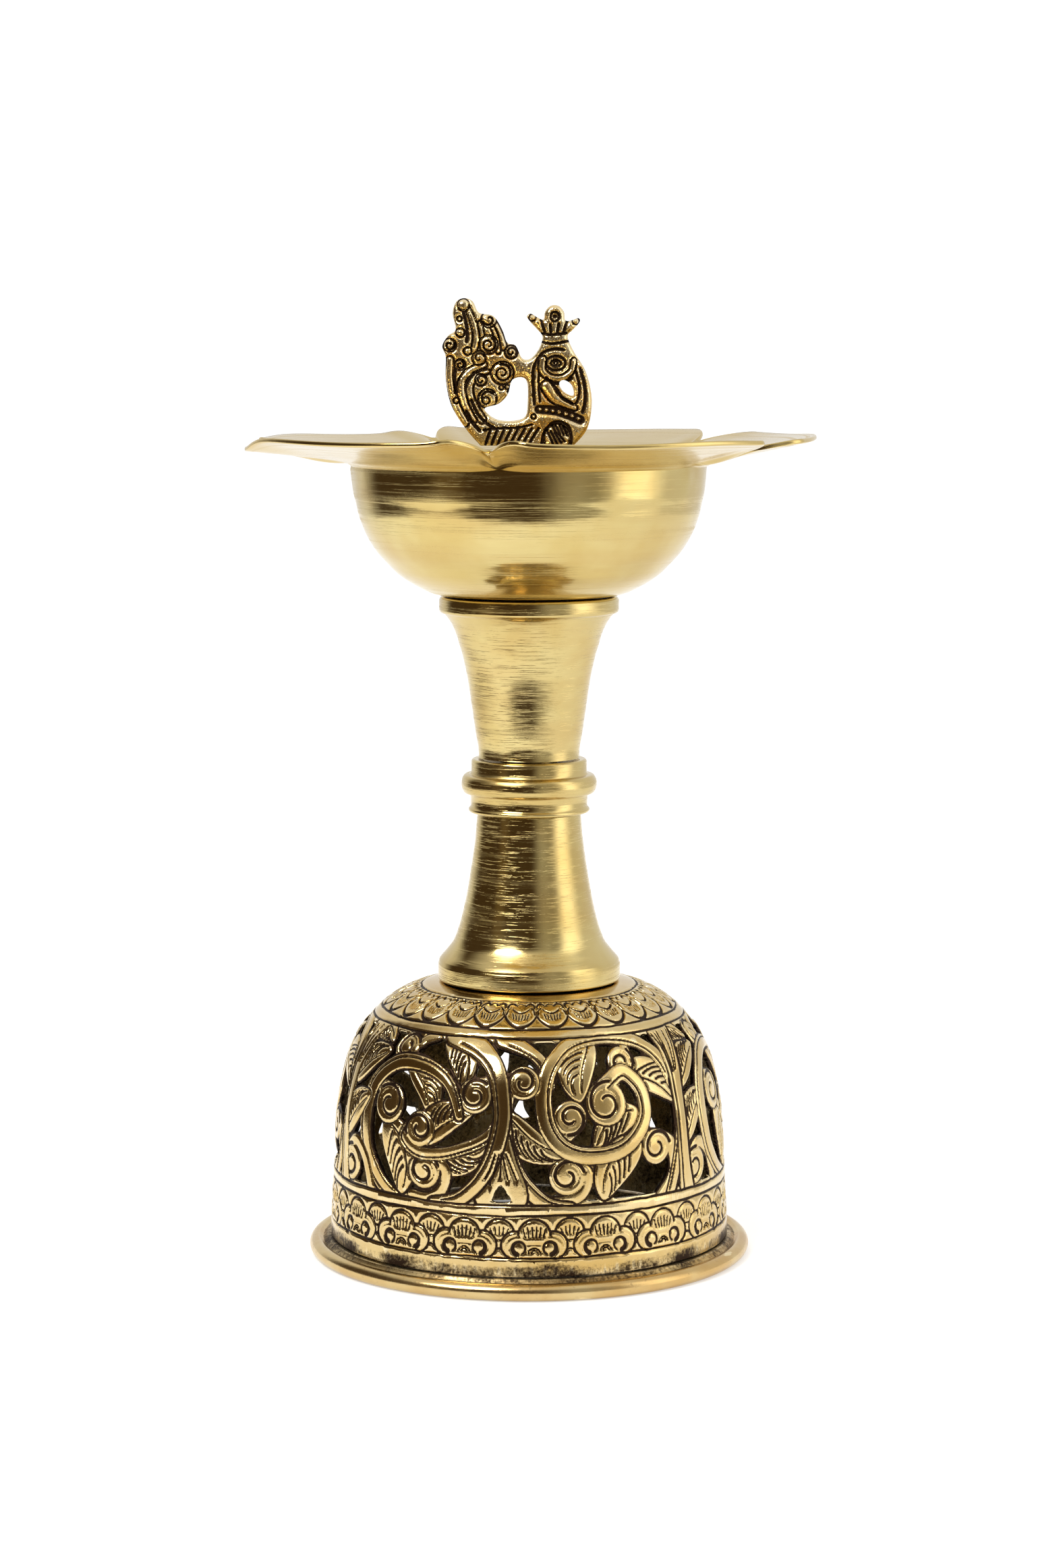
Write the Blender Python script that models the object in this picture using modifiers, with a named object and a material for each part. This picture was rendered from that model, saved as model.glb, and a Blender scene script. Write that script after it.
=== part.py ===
"""Brass standing oil lamp (samai), in the separate pieces that its maker joins.

A pierced dome stands on a cast foot ring. A hollow stem of two turned lengths and a
knop screws into a boss under the dome, a bowl with a petal rim screws into the
stem's top, and a peacock finial screws into the bowl's floor.
Metres, +Z up. The origin is on the lamp's axis, on the plane that it stands on.
A bearing is an angle round the axis from the front (-Y), growing towards +X.
"""

import math

import bmesh
import bpy
from mathutils import Matrix, Vector

# Driving dimensions, in metres.
DOME_WALL = 0.0012
DOME_FOOT_R = 0.0410
CROWN_Z = 0.0566
STEM_FOOT_R = 0.0187
KNOP_R = 0.01385
BOWL_R = 0.0360
BOWL_RIM_Z = 0.1623
SHEET = 0.0009
PETAL_R = 0.0580
NOTCH_R = 0.0480
PEACOCK_THICK = 0.0034
SEAT_GAP = 0.0003
THREAD_PLAY = 0.0004
MERGE = 0.00001

# Heights where one piece screws down on another.
STEM_SEAT_Z = 0.0570
KNOP_SEAT_Z = 0.0912
KNOP_TOP_Z = 0.1021
COLLAR_TOP_Z = 0.1350
BOWL_SEAT_Z = 0.1354
FINIAL_SEAT_Z = 0.1472

# Bearings of the five pinched notches of the rim, and each petal's reach.
NOTCHES = (-9, 61, 133, 205, 274)
PETAL_REACH = (0.0570, 0.0580, 0.0580, 0.0555, 0.0580)

# The scrollwork repeats three times round the dome, from these bearings.
JUNCTIONS = (-8, 112, 232)


def clear_scene():
    for thing in list(bpy.data.objects):
        bpy.data.objects.remove(thing)


def group(name):
    made = bpy.data.collections.new(name)
    bpy.context.scene.collection.children.link(made)
    return made


def finish(name, colour, roughness, metallic):
    """A plain Principled material for one piece."""
    made = bpy.data.materials.new(name)
    made.use_nodes = True
    shader = made.node_tree.nodes["Principled BSDF"]
    shader.inputs["Base Color"].default_value = (*colour, 1)
    shader.inputs["Roughness"].default_value = roughness
    shader.inputs["Metallic"].default_value = metallic
    return made


def polished(name):
    return finish(name, (0.80, 0.62, 0.32), 0.22, 1.0)


def antique(name):
    return finish(name, (0.62, 0.46, 0.20), 0.38, 1.0)


def plain_cast(name):
    return finish(name, (0.58, 0.45, 0.22), 0.5, 1.0)


def leather(name):
    return finish(name, (0.28, 0.15, 0.08), 0.75, 0.0)


def arc(centre, radius, start, end, count):
    """Points on an arc in the outline's plane, from one angle in degrees to another."""
    points = []
    for step in range(count + 1):
        angle = math.radians(start + (end - start) * step / count)
        points.append((centre[0] + radius * math.cos(angle), centre[1] + radius * math.sin(angle)))
    return points


def smooth_line(points, per_span, closed=False):
    """A Catmull-Rom curve through the points, per_span straight pieces between neighbours."""
    count = len(points)
    spans = count if closed else count - 1
    line = []
    for span in range(spans):
        four = []
        for shift in (-1, 0, 1, 2):
            index = (span + shift) % count if closed else min(max(span + shift, 0), count - 1)
            four.append(Vector(points[index]))
        before, here, there, after = four
        for step in range(per_span):
            t = step / per_span
            line.append(
                tuple(
                    0.5
                    * (
                        2 * here
                        + (there - before) * t
                        + (2 * before - 5 * here + 4 * there - after) * t**2
                        + (3 * here - before - 3 * there + after) * t**3
                    )
                )
            )
    if not closed:
        line.append(tuple(points[-1]))
    return line


def seat(name, height, below=None):
    """An empty on the axis, at the height of one screwed joint."""
    empty = bpy.data.objects.new(name, None)
    lamp.objects.link(empty)
    empty["height"] = height
    empty.parent = below
    empty.location.z = height - (below["height"] if below else 0)
    return empty


def turned(name, outline, steps, material, on, closed=False):
    """A piece spun about the axis from its outline, whose outer side runs top to bottom."""
    edges = [(i, i + 1) for i in range(len(outline) - 1)]
    if closed:
        edges.append((len(outline) - 1, 0))
    base = on["height"] if on else 0
    mesh = bpy.data.meshes.new(name)
    mesh.from_pydata([(r, 0, z - base) for r, z in outline], edges, [])
    mesh.materials.append(material)
    piece = bpy.data.objects.new(name, mesh)
    lamp.objects.link(piece)
    piece.parent = on
    spin = piece.modifiers.new("Turned", "SCREW")
    spin.steps = steps
    spin.render_steps = steps
    spin.use_merge_vertices = True
    spin.merge_threshold = MERGE
    spin.use_smooth_shade = True
    return piece


def cutter(name, mesh, placed):
    made = bpy.data.objects.new(name, mesh)
    cutters.objects.link(made)
    made.matrix_world = placed
    made.hide_render = True
    made.display_type = "WIRE"
    return made


def rod_mesh(name, sides, radius, length):
    """A closed rod along local Z, centred, for cutters."""
    shape = bmesh.new()
    bmesh.ops.create_cone(
        shape, cap_ends=True, segments=sides, radius1=radius, radius2=radius, depth=length
    )
    mesh = bpy.data.meshes.new(name)
    shape.to_mesh(mesh)
    shape.free()
    return mesh


def cut(piece, tool):
    made = piece.modifiers.new("Cut " + tool.name, "BOOLEAN")
    made.operation = "DIFFERENCE"
    made.object = tool


# Foot ring: a flat plate that the dome stands on, rolled down into a bead at its edge.
ROLL_R = 0.0017
ROLL_AT = (0.0437, ROLL_R)
PLATE_TOP = 0.0038
PLATE_INNER_R = 0.0389


def make_foot_ring():
    outline = [
        (PLATE_INNER_R, PLATE_TOP),
        (0.0416, PLATE_TOP),
        (0.0426, 0.0029),
        (0.0431, 0.0030),
        *arc(ROLL_AT, ROLL_R, 90, -90, 5),
        (0.0424, 0),
        (0.0416, 0.0008),
        (0.0413, 0.0025),
        (PLATE_INNER_R, 0.0025),
    ]
    return turned("foot_ring", outline, 54, antique("foot_ring"), None, closed=True)


# Dome: a bell-shaped shell, its outline given from the crown's hole down to the foot.
CROWN_HOLE_R = 0.0063
DOME_OUTLINE = (
    (CROWN_HOLE_R, CROWN_Z),
    (0.0155, CROWN_Z),
    (0.0220, 0.0556),
    (0.0291, 0.0524),
    (0.0333, 0.0483),
    (0.0371, 0.0420),
    (0.0392, 0.0336),
    (0.0401, 0.0251),
    (0.0407, 0.0124),
    (DOME_FOOT_R, PLATE_TOP + SEAT_GAP),
)

# Openings of one repeat: bearing from its junction, height along the wall from the
# foot, width, height (metres) and tilt (degrees) of each lens-shaped gap between vines.
OPENINGS = (
    (-2, 0.0170, 0.0036, 0.0034, 0),
    (6, 0.0330, 0.0055, 0.0042, 0),
    (8, 0.0205, 0.0070, 0.0060, 0),
    (27, 0.0203, 0.0048, 0.0070, -15),
    (44, 0.0198, 0.0065, 0.0060, 0),
    (26, 0.0278, 0.0080, 0.0030, 10),
    (16, 0.0375, 0.0030, 0.0085, -5),
    (50, 0.0300, 0.0036, 0.0075, 30),
    (48, 0.0417, 0.0075, 0.0032, -35),
    (30.5, 0.0425, 0.0036, 0.0055, -20),
    (-12, 0.0193, 0.0080, 0.0046, 10),
    (-30.5, 0.0205, 0.0028, 0.0075, 8),
    (-42.5, 0.0260, 0.0034, 0.0080, 25),
    (-10, 0.0288, 0.0065, 0.0032, 15),
    (-18, 0.0345, 0.0036, 0.0055, 25),
    (-24, 0.0440, 0.0068, 0.0034, -15),
    (-9, 0.0425, 0.0042, 0.0055, 35),
    (-47, 0.0448, 0.0055, 0.0026, 10),
    (-52, 0.0355, 0.0070, 0.0026, 5),
    (-53, 0.0240, 0.0070, 0.0028, 12),
)


def dome_place(bearing, rise):
    """A frame on the dome's wall, rise along it from the foot: X sideways, Y up, Z out."""
    line = [Vector((r, 0, z)) for r, z in reversed(DOME_OUTLINE)]
    for low, high in zip(line, line[1:]):
        step = (high - low).length
        if rise <= step:
            break
        rise -= step
    up = (high - low).normalized()
    out = Vector((up.z, 0, -up.x))
    side = up.cross(out)
    basis = Matrix((side, up, out)).transposed().to_4x4()
    basis.translation = low + up * rise
    return Matrix.Rotation(math.radians(bearing - 90), 4, "Z") @ basis


def make_dome_shell():
    dome = turned("dome_shell", DOME_OUTLINE, 54, antique("dome_shell"), None)
    wall = dome.modifiers.new("Wall", "SOLIDIFY")
    wall.thickness = DOME_WALL
    wall.offset = -1
    gap = rod_mesh("opening", 8, 0.5, 0.006)
    for junction in JUNCTIONS:
        for bearing, rise, width, height, tilt in OPENINGS:
            place = dome_place(junction + bearing, rise)
            shape = Matrix.Rotation(math.radians(tilt), 4, "Z") @ Matrix.Diagonal((width, height, 1, 1))
            cutter("opening", gap, place @ shape)
    pierce = dome.modifiers.new("Pierced", "BOOLEAN")
    pierce.operand_type = "COLLECTION"
    pierce.collection = cutters
    return dome


# Boss under the crown: its bore takes the stem's threaded spigot.
SPIGOT_R = 0.0050
BOSS_R = 0.0095
BOSS_TOP = CROWN_Z - DOME_WALL - SEAT_GAP
BOSS_LOW = 0.0455


def make_dome_boss():
    bore = SPIGOT_R + THREAD_PLAY
    outline = [
        (BOSS_R, BOSS_TOP),
        (BOSS_R, BOSS_LOW + 0.0012),
        (BOSS_R - 0.0012, BOSS_LOW),
        (bore, BOSS_LOW),
        (bore, BOSS_TOP),
    ]
    return turned("dome_boss", outline, 24, plain_cast("dome_boss"), None, closed=True)


# Leather washers: flat rings held in the joint between two screwed pieces.
def washer(name, inner, outer, low, high, on):
    outline = [(outer, high), (outer, low), (inner, low), (inner, high)]
    return turned(name, outline, 24, leather(name), on, closed=True)


# Lower stem: hollow from above, with a recess for the washer and a spigot below.
RECESS_R = 0.0135
RECESS_TOP = 0.0580
STEM_BORE_R = 0.0064


def make_lower_stem(on):
    outline = [
        (0.0105, KNOP_SEAT_Z - SEAT_GAP),
        (0.0110, 0.0859),
        (0.0122, 0.0776),
        (0.0139, 0.0692),
        (0.0153, 0.0650),
        (0.0167, 0.0629),
        (0.0178, 0.0615),
        (STEM_FOOT_R, 0.0607),
        (STEM_FOOT_R, STEM_SEAT_Z),
        (RECESS_R, STEM_SEAT_Z),
        (RECESS_R, RECESS_TOP),
        (SPIGOT_R, RECESS_TOP),
        (SPIGOT_R, 0.0468),
        (SPIGOT_R - 0.0008, 0.0460),
        (0, 0.0460),
    ]
    bore = [
        (0, 0.0635),
        (0.0120, 0.0650),
        (0.0100, 0.0720),
        (0.0080, 0.0790),
        (STEM_BORE_R, 0.0800),
        (STEM_BORE_R, KNOP_SEAT_Z - SEAT_GAP),
    ]
    return turned("lower_stem", bore + outline, 32, polished("lower_stem"), on)


# Knop: a bead between two fillets, with a threaded spigot up and down.
KNOP_BEAD_Z = 0.0970
KNOP_SPIGOT_R = 0.0058


def make_knop(on):
    outline = [
        (0, 0.1120),
        (KNOP_SPIGOT_R - 0.0006, 0.1120),
        (KNOP_SPIGOT_R, 0.1114),
        (KNOP_SPIGOT_R, KNOP_TOP_Z),
        (0.0108, KNOP_TOP_Z),
        (0.0118, 0.1014),
        (0.0118, 0.0991),
        (0.0130, 0.0986),
        *arc((0.0115, KNOP_BEAD_Z), KNOP_R - 0.0115, 45, -45, 4),
        (0.0130, 0.0953),
        (0.0120, 0.0947),
        (0.0120, 0.0920),
        (0.0124, 0.0914),
        (0.0122, KNOP_SEAT_Z),
        (KNOP_SPIGOT_R, KNOP_SEAT_Z),
        (KNOP_SPIGOT_R, 0.0818),
        (KNOP_SPIGOT_R - 0.0006, 0.0812),
        (0, 0.0812),
    ]
    return turned("knop", outline, 32, polished("knop"), on)


# Upper stem: a hollow waist that flares to the collar the bowl sits on.
COLLAR_R = 0.0183
PLUG_R = 0.0110
PLUG_LOW = 0.1245


def make_upper_stem(on):
    inner = PLUG_R + SEAT_GAP
    outline = [
        (inner, COLLAR_TOP_Z),
        (0.0178, COLLAR_TOP_Z),
        *arc((COLLAR_R - 0.0010, 0.1340), 0.0010, 60, -60, 3),
        (0.0170, 0.1319),
        (0.0158, 0.1296),
        (0.0142, 0.1254),
        (0.0127, 0.1192),
        (0.0114, 0.1109),
        (0.0105, 0.1050),
        (0.0103, KNOP_TOP_Z + SEAT_GAP),
        (STEM_BORE_R, KNOP_TOP_Z + SEAT_GAP),
        (STEM_BORE_R, 0.1125),
        (0.0090, 0.1160),
        (0.0105, PLUG_LOW - SEAT_GAP),
        (inner, PLUG_LOW - SEAT_GAP),
    ]
    return turned("upper_stem", outline, 32, polished("upper_stem"), on, closed=True)


# Plug in the stem's mouth: tapped for the bowl's stud.
STUD_R = 0.0030


def make_stem_top_plug(on):
    bore = STUD_R + THREAD_PLAY
    top = COLLAR_TOP_Z - 0.0014
    outline = [(PLUG_R, top), (PLUG_R, PLUG_LOW), (bore, PLUG_LOW), (bore, top)]
    return turned("stem_top_plug", outline, 24, plain_cast("stem_top_plug"), on, closed=True)


# Bowl: one spun sheet, its wall rising to a rim of petals.
BOWL_HOLE_R = STUD_R + SEAT_GAP
PETAL_TIP_Z = 0.1670
NOTCH_LIFT = 0.0012
SHOULDER_LIFT = 0.0011
STEPS_PER_PETAL = 15
NOTCH_CROWDING = 0.6
BOWL_OUTLINE = (
    (0.0360, BOWL_RIM_Z),
    (0.0356, 0.1575),
    (0.0346, 0.1522),
    (0.0319, 0.1461),
    (0.0287, 0.1420),
    (0.0236, 0.1378),
    (0.0175, BOWL_SEAT_Z),
    (BOWL_HOLE_R, BOWL_SEAT_Z),
)


def petal_point(turn, radius, height):
    """Moves a point of the round sheet to its place: turn is 0 to 5, one unit a petal."""
    petal = int(turn + 1e-6) % len(NOTCHES)
    part = 2 * (turn - int(turn + 1e-6)) - 1
    start = NOTCHES[petal]
    width = (NOTCHES[(petal + 1) % len(NOTCHES)] - start) % 360
    eased = part + NOTCH_CROWDING * math.sin(math.pi * part) / math.pi
    bearing = math.radians(start + width * (eased + 1) / 2)
    outward = max(0.0, (radius - BOWL_R) / (PETAL_R - BOWL_R))
    if outward > 0:
        near_notch = max(0.0, (abs(eased) - 0.76) / 0.24)
        reach = PETAL_REACH[petal] + (NOTCH_R - PETAL_REACH[petal]) * near_notch**1.6
        radius = BOWL_R + outward * (reach - BOWL_R)
        slope = (PETAL_TIP_Z - BOWL_RIM_Z) / (PETAL_R - BOWL_R)
        height = BOWL_RIM_Z + slope * (radius - BOWL_R)
        shoulder = math.exp(-(((abs(eased) - 0.84) / 0.09) ** 2))
        height += outward * (NOTCH_LIFT * near_notch + SHOULDER_LIFT * shoulder)
    return radius * math.sin(bearing), -radius * math.cos(bearing), height


def make_bowl(on):
    rows = 3
    petal_line = [
        (PETAL_R + (BOWL_R - PETAL_R) * row / rows, PETAL_TIP_Z + (BOWL_RIM_Z - PETAL_TIP_Z) * row / rows)
        for row in range(rows)
    ]
    steps = STEPS_PER_PETAL * len(NOTCHES)
    spun = turned("spun_sheet", petal_line + list(BOWL_OUTLINE), steps, polished("bowl"), on)
    bpy.context.view_layer.update()
    sheet = bpy.data.meshes.new_from_object(spun.evaluated_get(bpy.context.evaluated_depsgraph_get()))
    bpy.data.objects.remove(spun)
    sheet.name = "bowl"
    base = on["height"]
    for point in sheet.vertices:
        turn = math.atan2(point.co.y, point.co.x) / (2 * math.pi) % 1 * len(NOTCHES)
        radius = math.hypot(point.co.x, point.co.y)
        x, y, z = petal_point(turn, radius, point.co.z + base)
        point.co = (x, y, z - base)
    bowl = bpy.data.objects.new("bowl", sheet)
    lamp.objects.link(bowl)
    bowl.parent = on
    wall = bowl.modifiers.new("Sheet", "SOLIDIFY")
    wall.thickness = SHEET
    wall.offset = -1
    wall.use_even_offset = True
    return bowl


# Stud through the bowl's floor: threaded below, a flange and a socket inside the bowl.
FLANGE_R = 0.0070
SOCKET_R = 0.0044
POST_ROD_R = 0.0020
SOCKET_TOP = 0.1462


def make_bowl_stud(on):
    floor = BOWL_SEAT_Z + SHEET + SEAT_GAP
    bore = POST_ROD_R + THREAD_PLAY
    outline = [
        (0, 0.1398),
        (bore, 0.1398),
        (bore, SOCKET_TOP),
        (SOCKET_R, SOCKET_TOP),
        (SOCKET_R, 0.1392),
        (FLANGE_R, 0.1382),
        (FLANGE_R, floor),
        (STUD_R, floor),
        (STUD_R, 0.1266),
        (STUD_R - 0.0006, 0.1260),
        (0, 0.1260),
    ]
    return turned("bowl_stud", outline, 24, plain_cast("bowl_stud"), on)


# Finial post: a rod below, a shoulder on the socket, a slotted head above.
POST_HEAD_R = 0.0046
POST_TOP = 0.1652
SLOT_LOW = 0.1612
PIN_Z = 0.1632
PIN_R = 0.0008


def make_finial_post(on):
    outline = [
        (0, POST_TOP),
        (POST_HEAD_R - 0.0005, POST_TOP),
        (POST_HEAD_R, POST_TOP - 0.0005),
        (POST_HEAD_R, 0.1598),
        (0.0032, 0.1584),
        (0.0027, 0.1550),
        (0.0031, 0.1512),
        (0.0046, 0.1490),
        (0.0046, FINIAL_SEAT_Z),
        (POST_ROD_R, FINIAL_SEAT_Z),
        (POST_ROD_R, 0.1406),
        (0, 0.1402),
    ]
    post = turned("finial_post", outline, 24, polished("finial_post"), on)
    slot_width = PEACOCK_THICK + 2 * SEAT_GAP
    slot = bpy.data.meshes.new("slot")
    shape = bmesh.new()
    bmesh.ops.create_cube(shape, size=1)
    shape.to_mesh(slot)
    shape.free()
    depth = 0.010
    place = Matrix.Translation((0, 0, SLOT_LOW + depth / 2))
    cut(post, cutter("slot", slot, place @ Matrix.Diagonal((0.020, slot_width, depth, 1))))
    hole = rod_mesh("pin_hole", 12, PIN_R + SEAT_GAP, 0.020)
    place = Matrix.Translation((0, 0, PIN_Z)) @ Matrix.Rotation(math.pi / 2, 4, "X")
    cut(post, cutter("pin_hole", hole, place))
    return post


def make_finial_pin(on):
    pin = bpy.data.objects.new("finial_pin", rod_mesh("finial_pin", 12, PIN_R, 0.0088))
    pin.data.materials.append(plain_cast("finial_pin"))
    pin.data.shade_smooth()
    pin.data.set_sharp_from_angle(angle=math.radians(40))
    lamp.objects.link(pin)
    pin.parent = on
    pin.location.z = PIN_Z - on["height"]
    pin.rotation_euler.x = math.pi / 2
    return pin


# Peacock: a flat casting. Its outline runs from the tail's tip down the tail, along
# the body, up the breast and crown, and back over the neck, as (x, z).
TANG_HALF = 0.0030
TANG_LOW = 0.1616
BODY_LOW = 0.1657
PEACOCK_OUTLINE = (
    (-0.0131, 0.1953),
    (-0.0147, 0.1945),
    (-0.0154, 0.1922),
    (-0.0148, 0.1890),
    (-0.0163, 0.1878),
    (-0.0175, 0.1857),
    (-0.0168, 0.1835),
    (-0.0168, 0.1790),
    (-0.0157, 0.1738),
    (-0.0127, 0.1690),
    (-0.0098, BODY_LOW),
    (0.0090, BODY_LOW),
    (0.0118, 0.1692),
    (0.0127, 0.1748),
    (0.0115, 0.1805),
    (0.0091, 0.1845),
    (0.0078, 0.1876),
    (0.0088, 0.1890),
    (0.0103, 0.1911),
    (0.0078, 0.1912),
    (0.0051, 0.1939),
    (0.0028, 0.1915),
    (0.0000, 0.1921),
    (0.0014, 0.1897),
    (0.0027, 0.1876),
    (0.0020, 0.1852),
    (0.0003, 0.1832),
    (-0.0014, 0.1833),
    (-0.0027, 0.1858),
    (-0.0044, 0.1864),
    (-0.0054, 0.1890),
    (-0.0072, 0.1917),
    (-0.0101, 0.1924),
    (-0.0113, 0.1946),
)
BELLY_HOLE = (
    (-0.0033, 0.1790),
    (-0.0006, 0.1790),
    (-0.0003, 0.1744),
    (-0.0012, 0.1712),
    (-0.0062, 0.1709),
    (-0.0090, 0.1731),
    (-0.0062, 0.1741),
    (-0.0043, 0.1760),
)
THROAT_HOLE = (
    (0.0070, 0.1789),
    (0.0086, 0.1779),
    (0.0089, 0.1758),
    (0.0070, 0.1766),
    (0.0061, 0.1782),
)


def make_peacock(on):
    body = list(PEACOCK_OUTLINE)
    corner = body.index((-0.0098, BODY_LOW))
    upper = smooth_line(body[corner + 1 :] + body[: corner + 1], 2)
    tang = [(-TANG_HALF, BODY_LOW), (-TANG_HALF, TANG_LOW), (TANG_HALF, TANG_LOW), (TANG_HALF, BODY_LOW)]
    pin_hole = arc((0, PIN_Z), PIN_R + SEAT_GAP, 0, 330, 11)
    loops = [upper + tang, smooth_line(BELLY_HOLE, 2, True), smooth_line(THROAT_HOLE, 2, True), pin_hole]
    curve = bpy.data.curves.new("peacock", "CURVE")
    curve.dimensions = "2D"
    curve.fill_mode = "BOTH"
    curve.extrude = PEACOCK_THICK / 2
    curve.materials.append(antique("peacock"))
    for loop in loops:
        line = curve.splines.new("POLY")
        line.points.add(len(loop) - 1)
        for point, (x, z) in zip(line.points, loop):
            point.co = (x, z - on["height"], 0, 1)
        line.use_cyclic_u = True
    peacock = bpy.data.objects.new("peacock", curve)
    lamp.objects.link(peacock)
    peacock.parent = on
    peacock.rotation_euler.x = math.pi / 2
    return peacock


clear_scene()
lamp = group("samai_lamp")
cutters = group("cutters")

make_foot_ring()
make_dome_shell()
make_dome_boss()

stem_seat = seat("stem_seat", STEM_SEAT_Z)
washer("foot_washer", 0.0056, 0.0130, CROWN_Z + SEAT_GAP, RECESS_TOP - SEAT_GAP, stem_seat)
make_lower_stem(stem_seat)
make_knop(stem_seat)
make_upper_stem(stem_seat)
make_stem_top_plug(stem_seat)

bowl_seat = seat("bowl_seat", BOWL_SEAT_Z, stem_seat)
washer("bowl_washer", 0.0036, 0.0105, COLLAR_TOP_Z - 0.0011, BOWL_SEAT_Z - SEAT_GAP, bowl_seat)
make_bowl(bowl_seat)
make_bowl_stud(bowl_seat)

finial_seat = seat("finial_seat", FINIAL_SEAT_Z, bowl_seat)
washer("finial_washer", 0.0024, 0.0042, SOCKET_TOP + 0.0002, FINIAL_SEAT_Z - 0.0002, finial_seat)
make_finial_post(finial_seat)
make_peacock(finial_seat)
make_finial_pin(finial_seat)
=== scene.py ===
"""Looks of the brass standing oil lamp (samai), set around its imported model.

The file follows the lamp as it is put together: foot ring, pierced dome, stem, bowl
and peacock finial. Sizes are in metres, and in millimetres where a name ends in MM or
inside a relief drawing. A bearing is an angle from the front (-Y), towards +X.
"""

import math

import bpy
import numpy as np
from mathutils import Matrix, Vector


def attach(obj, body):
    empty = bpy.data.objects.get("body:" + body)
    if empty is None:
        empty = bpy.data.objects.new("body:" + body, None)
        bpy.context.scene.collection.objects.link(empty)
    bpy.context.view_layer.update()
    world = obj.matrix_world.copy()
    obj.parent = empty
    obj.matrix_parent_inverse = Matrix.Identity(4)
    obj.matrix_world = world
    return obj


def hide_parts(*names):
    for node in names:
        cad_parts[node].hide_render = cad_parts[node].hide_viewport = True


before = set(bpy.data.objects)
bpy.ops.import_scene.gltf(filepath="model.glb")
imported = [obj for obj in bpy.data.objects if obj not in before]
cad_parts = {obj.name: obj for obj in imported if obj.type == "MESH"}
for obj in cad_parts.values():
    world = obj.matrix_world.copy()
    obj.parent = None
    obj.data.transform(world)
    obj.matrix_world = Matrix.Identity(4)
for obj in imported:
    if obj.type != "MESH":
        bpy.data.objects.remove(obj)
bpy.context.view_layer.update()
MM = 0.001


# ---------------------------------------------------------------- Camera, table, lights
# The lamp stands on a white table top in a bright white tent. The side of the tent
# that the camera looks in from is open and dark, which draws the brown bands in the
# polished brass.
EYE = (0.0005, -0.750, 0.187)
LOOKS_DOWN = 6.86
LENS_MM = 84.81
SENSOR_MM = 36

camera = bpy.data.objects.new("camera", bpy.data.cameras.new("camera"))
camera.data.lens = LENS_MM
camera.data.sensor_width = SENSOR_MM
camera.location = EYE
camera.rotation_euler = (math.radians(90 - LOOKS_DOWN), 0, 0)
bpy.context.scene.collection.objects.link(camera)
bpy.context.scene.camera = camera
bpy.context.scene.view_settings.view_transform = "Standard"

TABLE_FRONT = -0.25
TABLE_LEFT = -0.45
TABLE_RIGHT = 0.50
TABLE_SINK = 0.00002
CARD_WHITE = (0.62, 0.62, 0.62, 1)
REACH = 6.0
# The table's glow keeps it evenly white; round the lamp's axis it fades, from LIT_R in to SHADE_R, to a
# painted shadow under the dome.
TABLE_GLOW = 0.60
SHADE_R = 0.036
LIT_R = 0.048


def flat_sheet(name, left, right, near, far):
    """A level sheet from x = left to right and from y = near to far."""
    points = [(x, y, 0) for y in (near, far) for x in (left, right)]
    mesh = bpy.data.meshes.new(name)
    mesh.from_pydata(points, [], [(0, 1, 3, 2)])
    sheet = bpy.data.objects.new(name, mesh)
    bpy.context.scene.collection.objects.link(sheet)
    return sheet


def new_material(name, metallic=1.0):
    """A material, its node tree and its Principled shader."""
    made = bpy.data.materials.new(name)
    made.use_nodes = True
    shader = made.node_tree.nodes["Principled BSDF"]
    shader.inputs["Metallic"].default_value = metallic
    return made, made.node_tree, shader


white_card_with_painted_shadow, white_tree, white_shader = new_material("white_card_with_painted_shadow", 0.0)
white_shader.inputs["Base Color"].default_value = CARD_WHITE
white_shader.inputs["Roughness"].default_value = 0.9
white_shader.inputs["Specular IOR Level"].default_value = 0.0
white_shader.inputs["Emission Color"].default_value = (1, 1, 1, 1)

table = flat_sheet("table", TABLE_LEFT, TABLE_RIGHT, TABLE_FRONT, REACH)
sweep = [
    flat_sheet("sweep_front", -REACH, REACH, -REACH, TABLE_FRONT),
    flat_sheet("sweep_left", -REACH, TABLE_LEFT, TABLE_FRONT, REACH),
    flat_sheet("sweep_right", TABLE_RIGHT, REACH, TABLE_FRONT, REACH),
]
for surface in (table, *sweep):
    surface.visible_glossy = surface is table
    surface.location.z = -TABLE_SINK
    surface.data.materials.append(white_card_with_painted_shadow)

SOFT_BOX_AT = (-0.40, -0.48, 0.74)
SOFT_BOX_AIM = (0, 0, 0.1)
SOFT_BOX_WIDTH = 0.56
SOFT_BOX_HEIGHT = 0.44
SOFT_BOX_RADIANCE = 7.5

soft_box = bpy.data.lights.new("soft_box", "AREA")
soft_box.shape = "ELLIPSE"
soft_box.size = SOFT_BOX_WIDTH
soft_box.size_y = SOFT_BOX_HEIGHT
soft_box.energy = SOFT_BOX_RADIANCE * math.pi * SOFT_BOX_WIDTH * SOFT_BOX_HEIGHT
lamp_head = bpy.data.objects.new("soft_box", soft_box)
lamp_head.location = SOFT_BOX_AT
away = lamp_head.location - Vector(SOFT_BOX_AIM)
lamp_head.rotation_euler = away.to_track_quat("Z", "Y").to_euler()
bpy.context.scene.collection.objects.link(lamp_head)

tent = bpy.data.worlds.new("tent")
bpy.context.scene.world = tent
tent.use_nodes = True


def add_node(tree, kind, **settings):
    """One shader node; settings are its own properties, or its inputs by number."""
    made = tree.nodes.new(kind)
    for name, value in settings.items():
        if name.startswith("in_"):
            made.inputs[int(name[3:])].default_value = value
        else:
            setattr(made, name, value)
    return made


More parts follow.
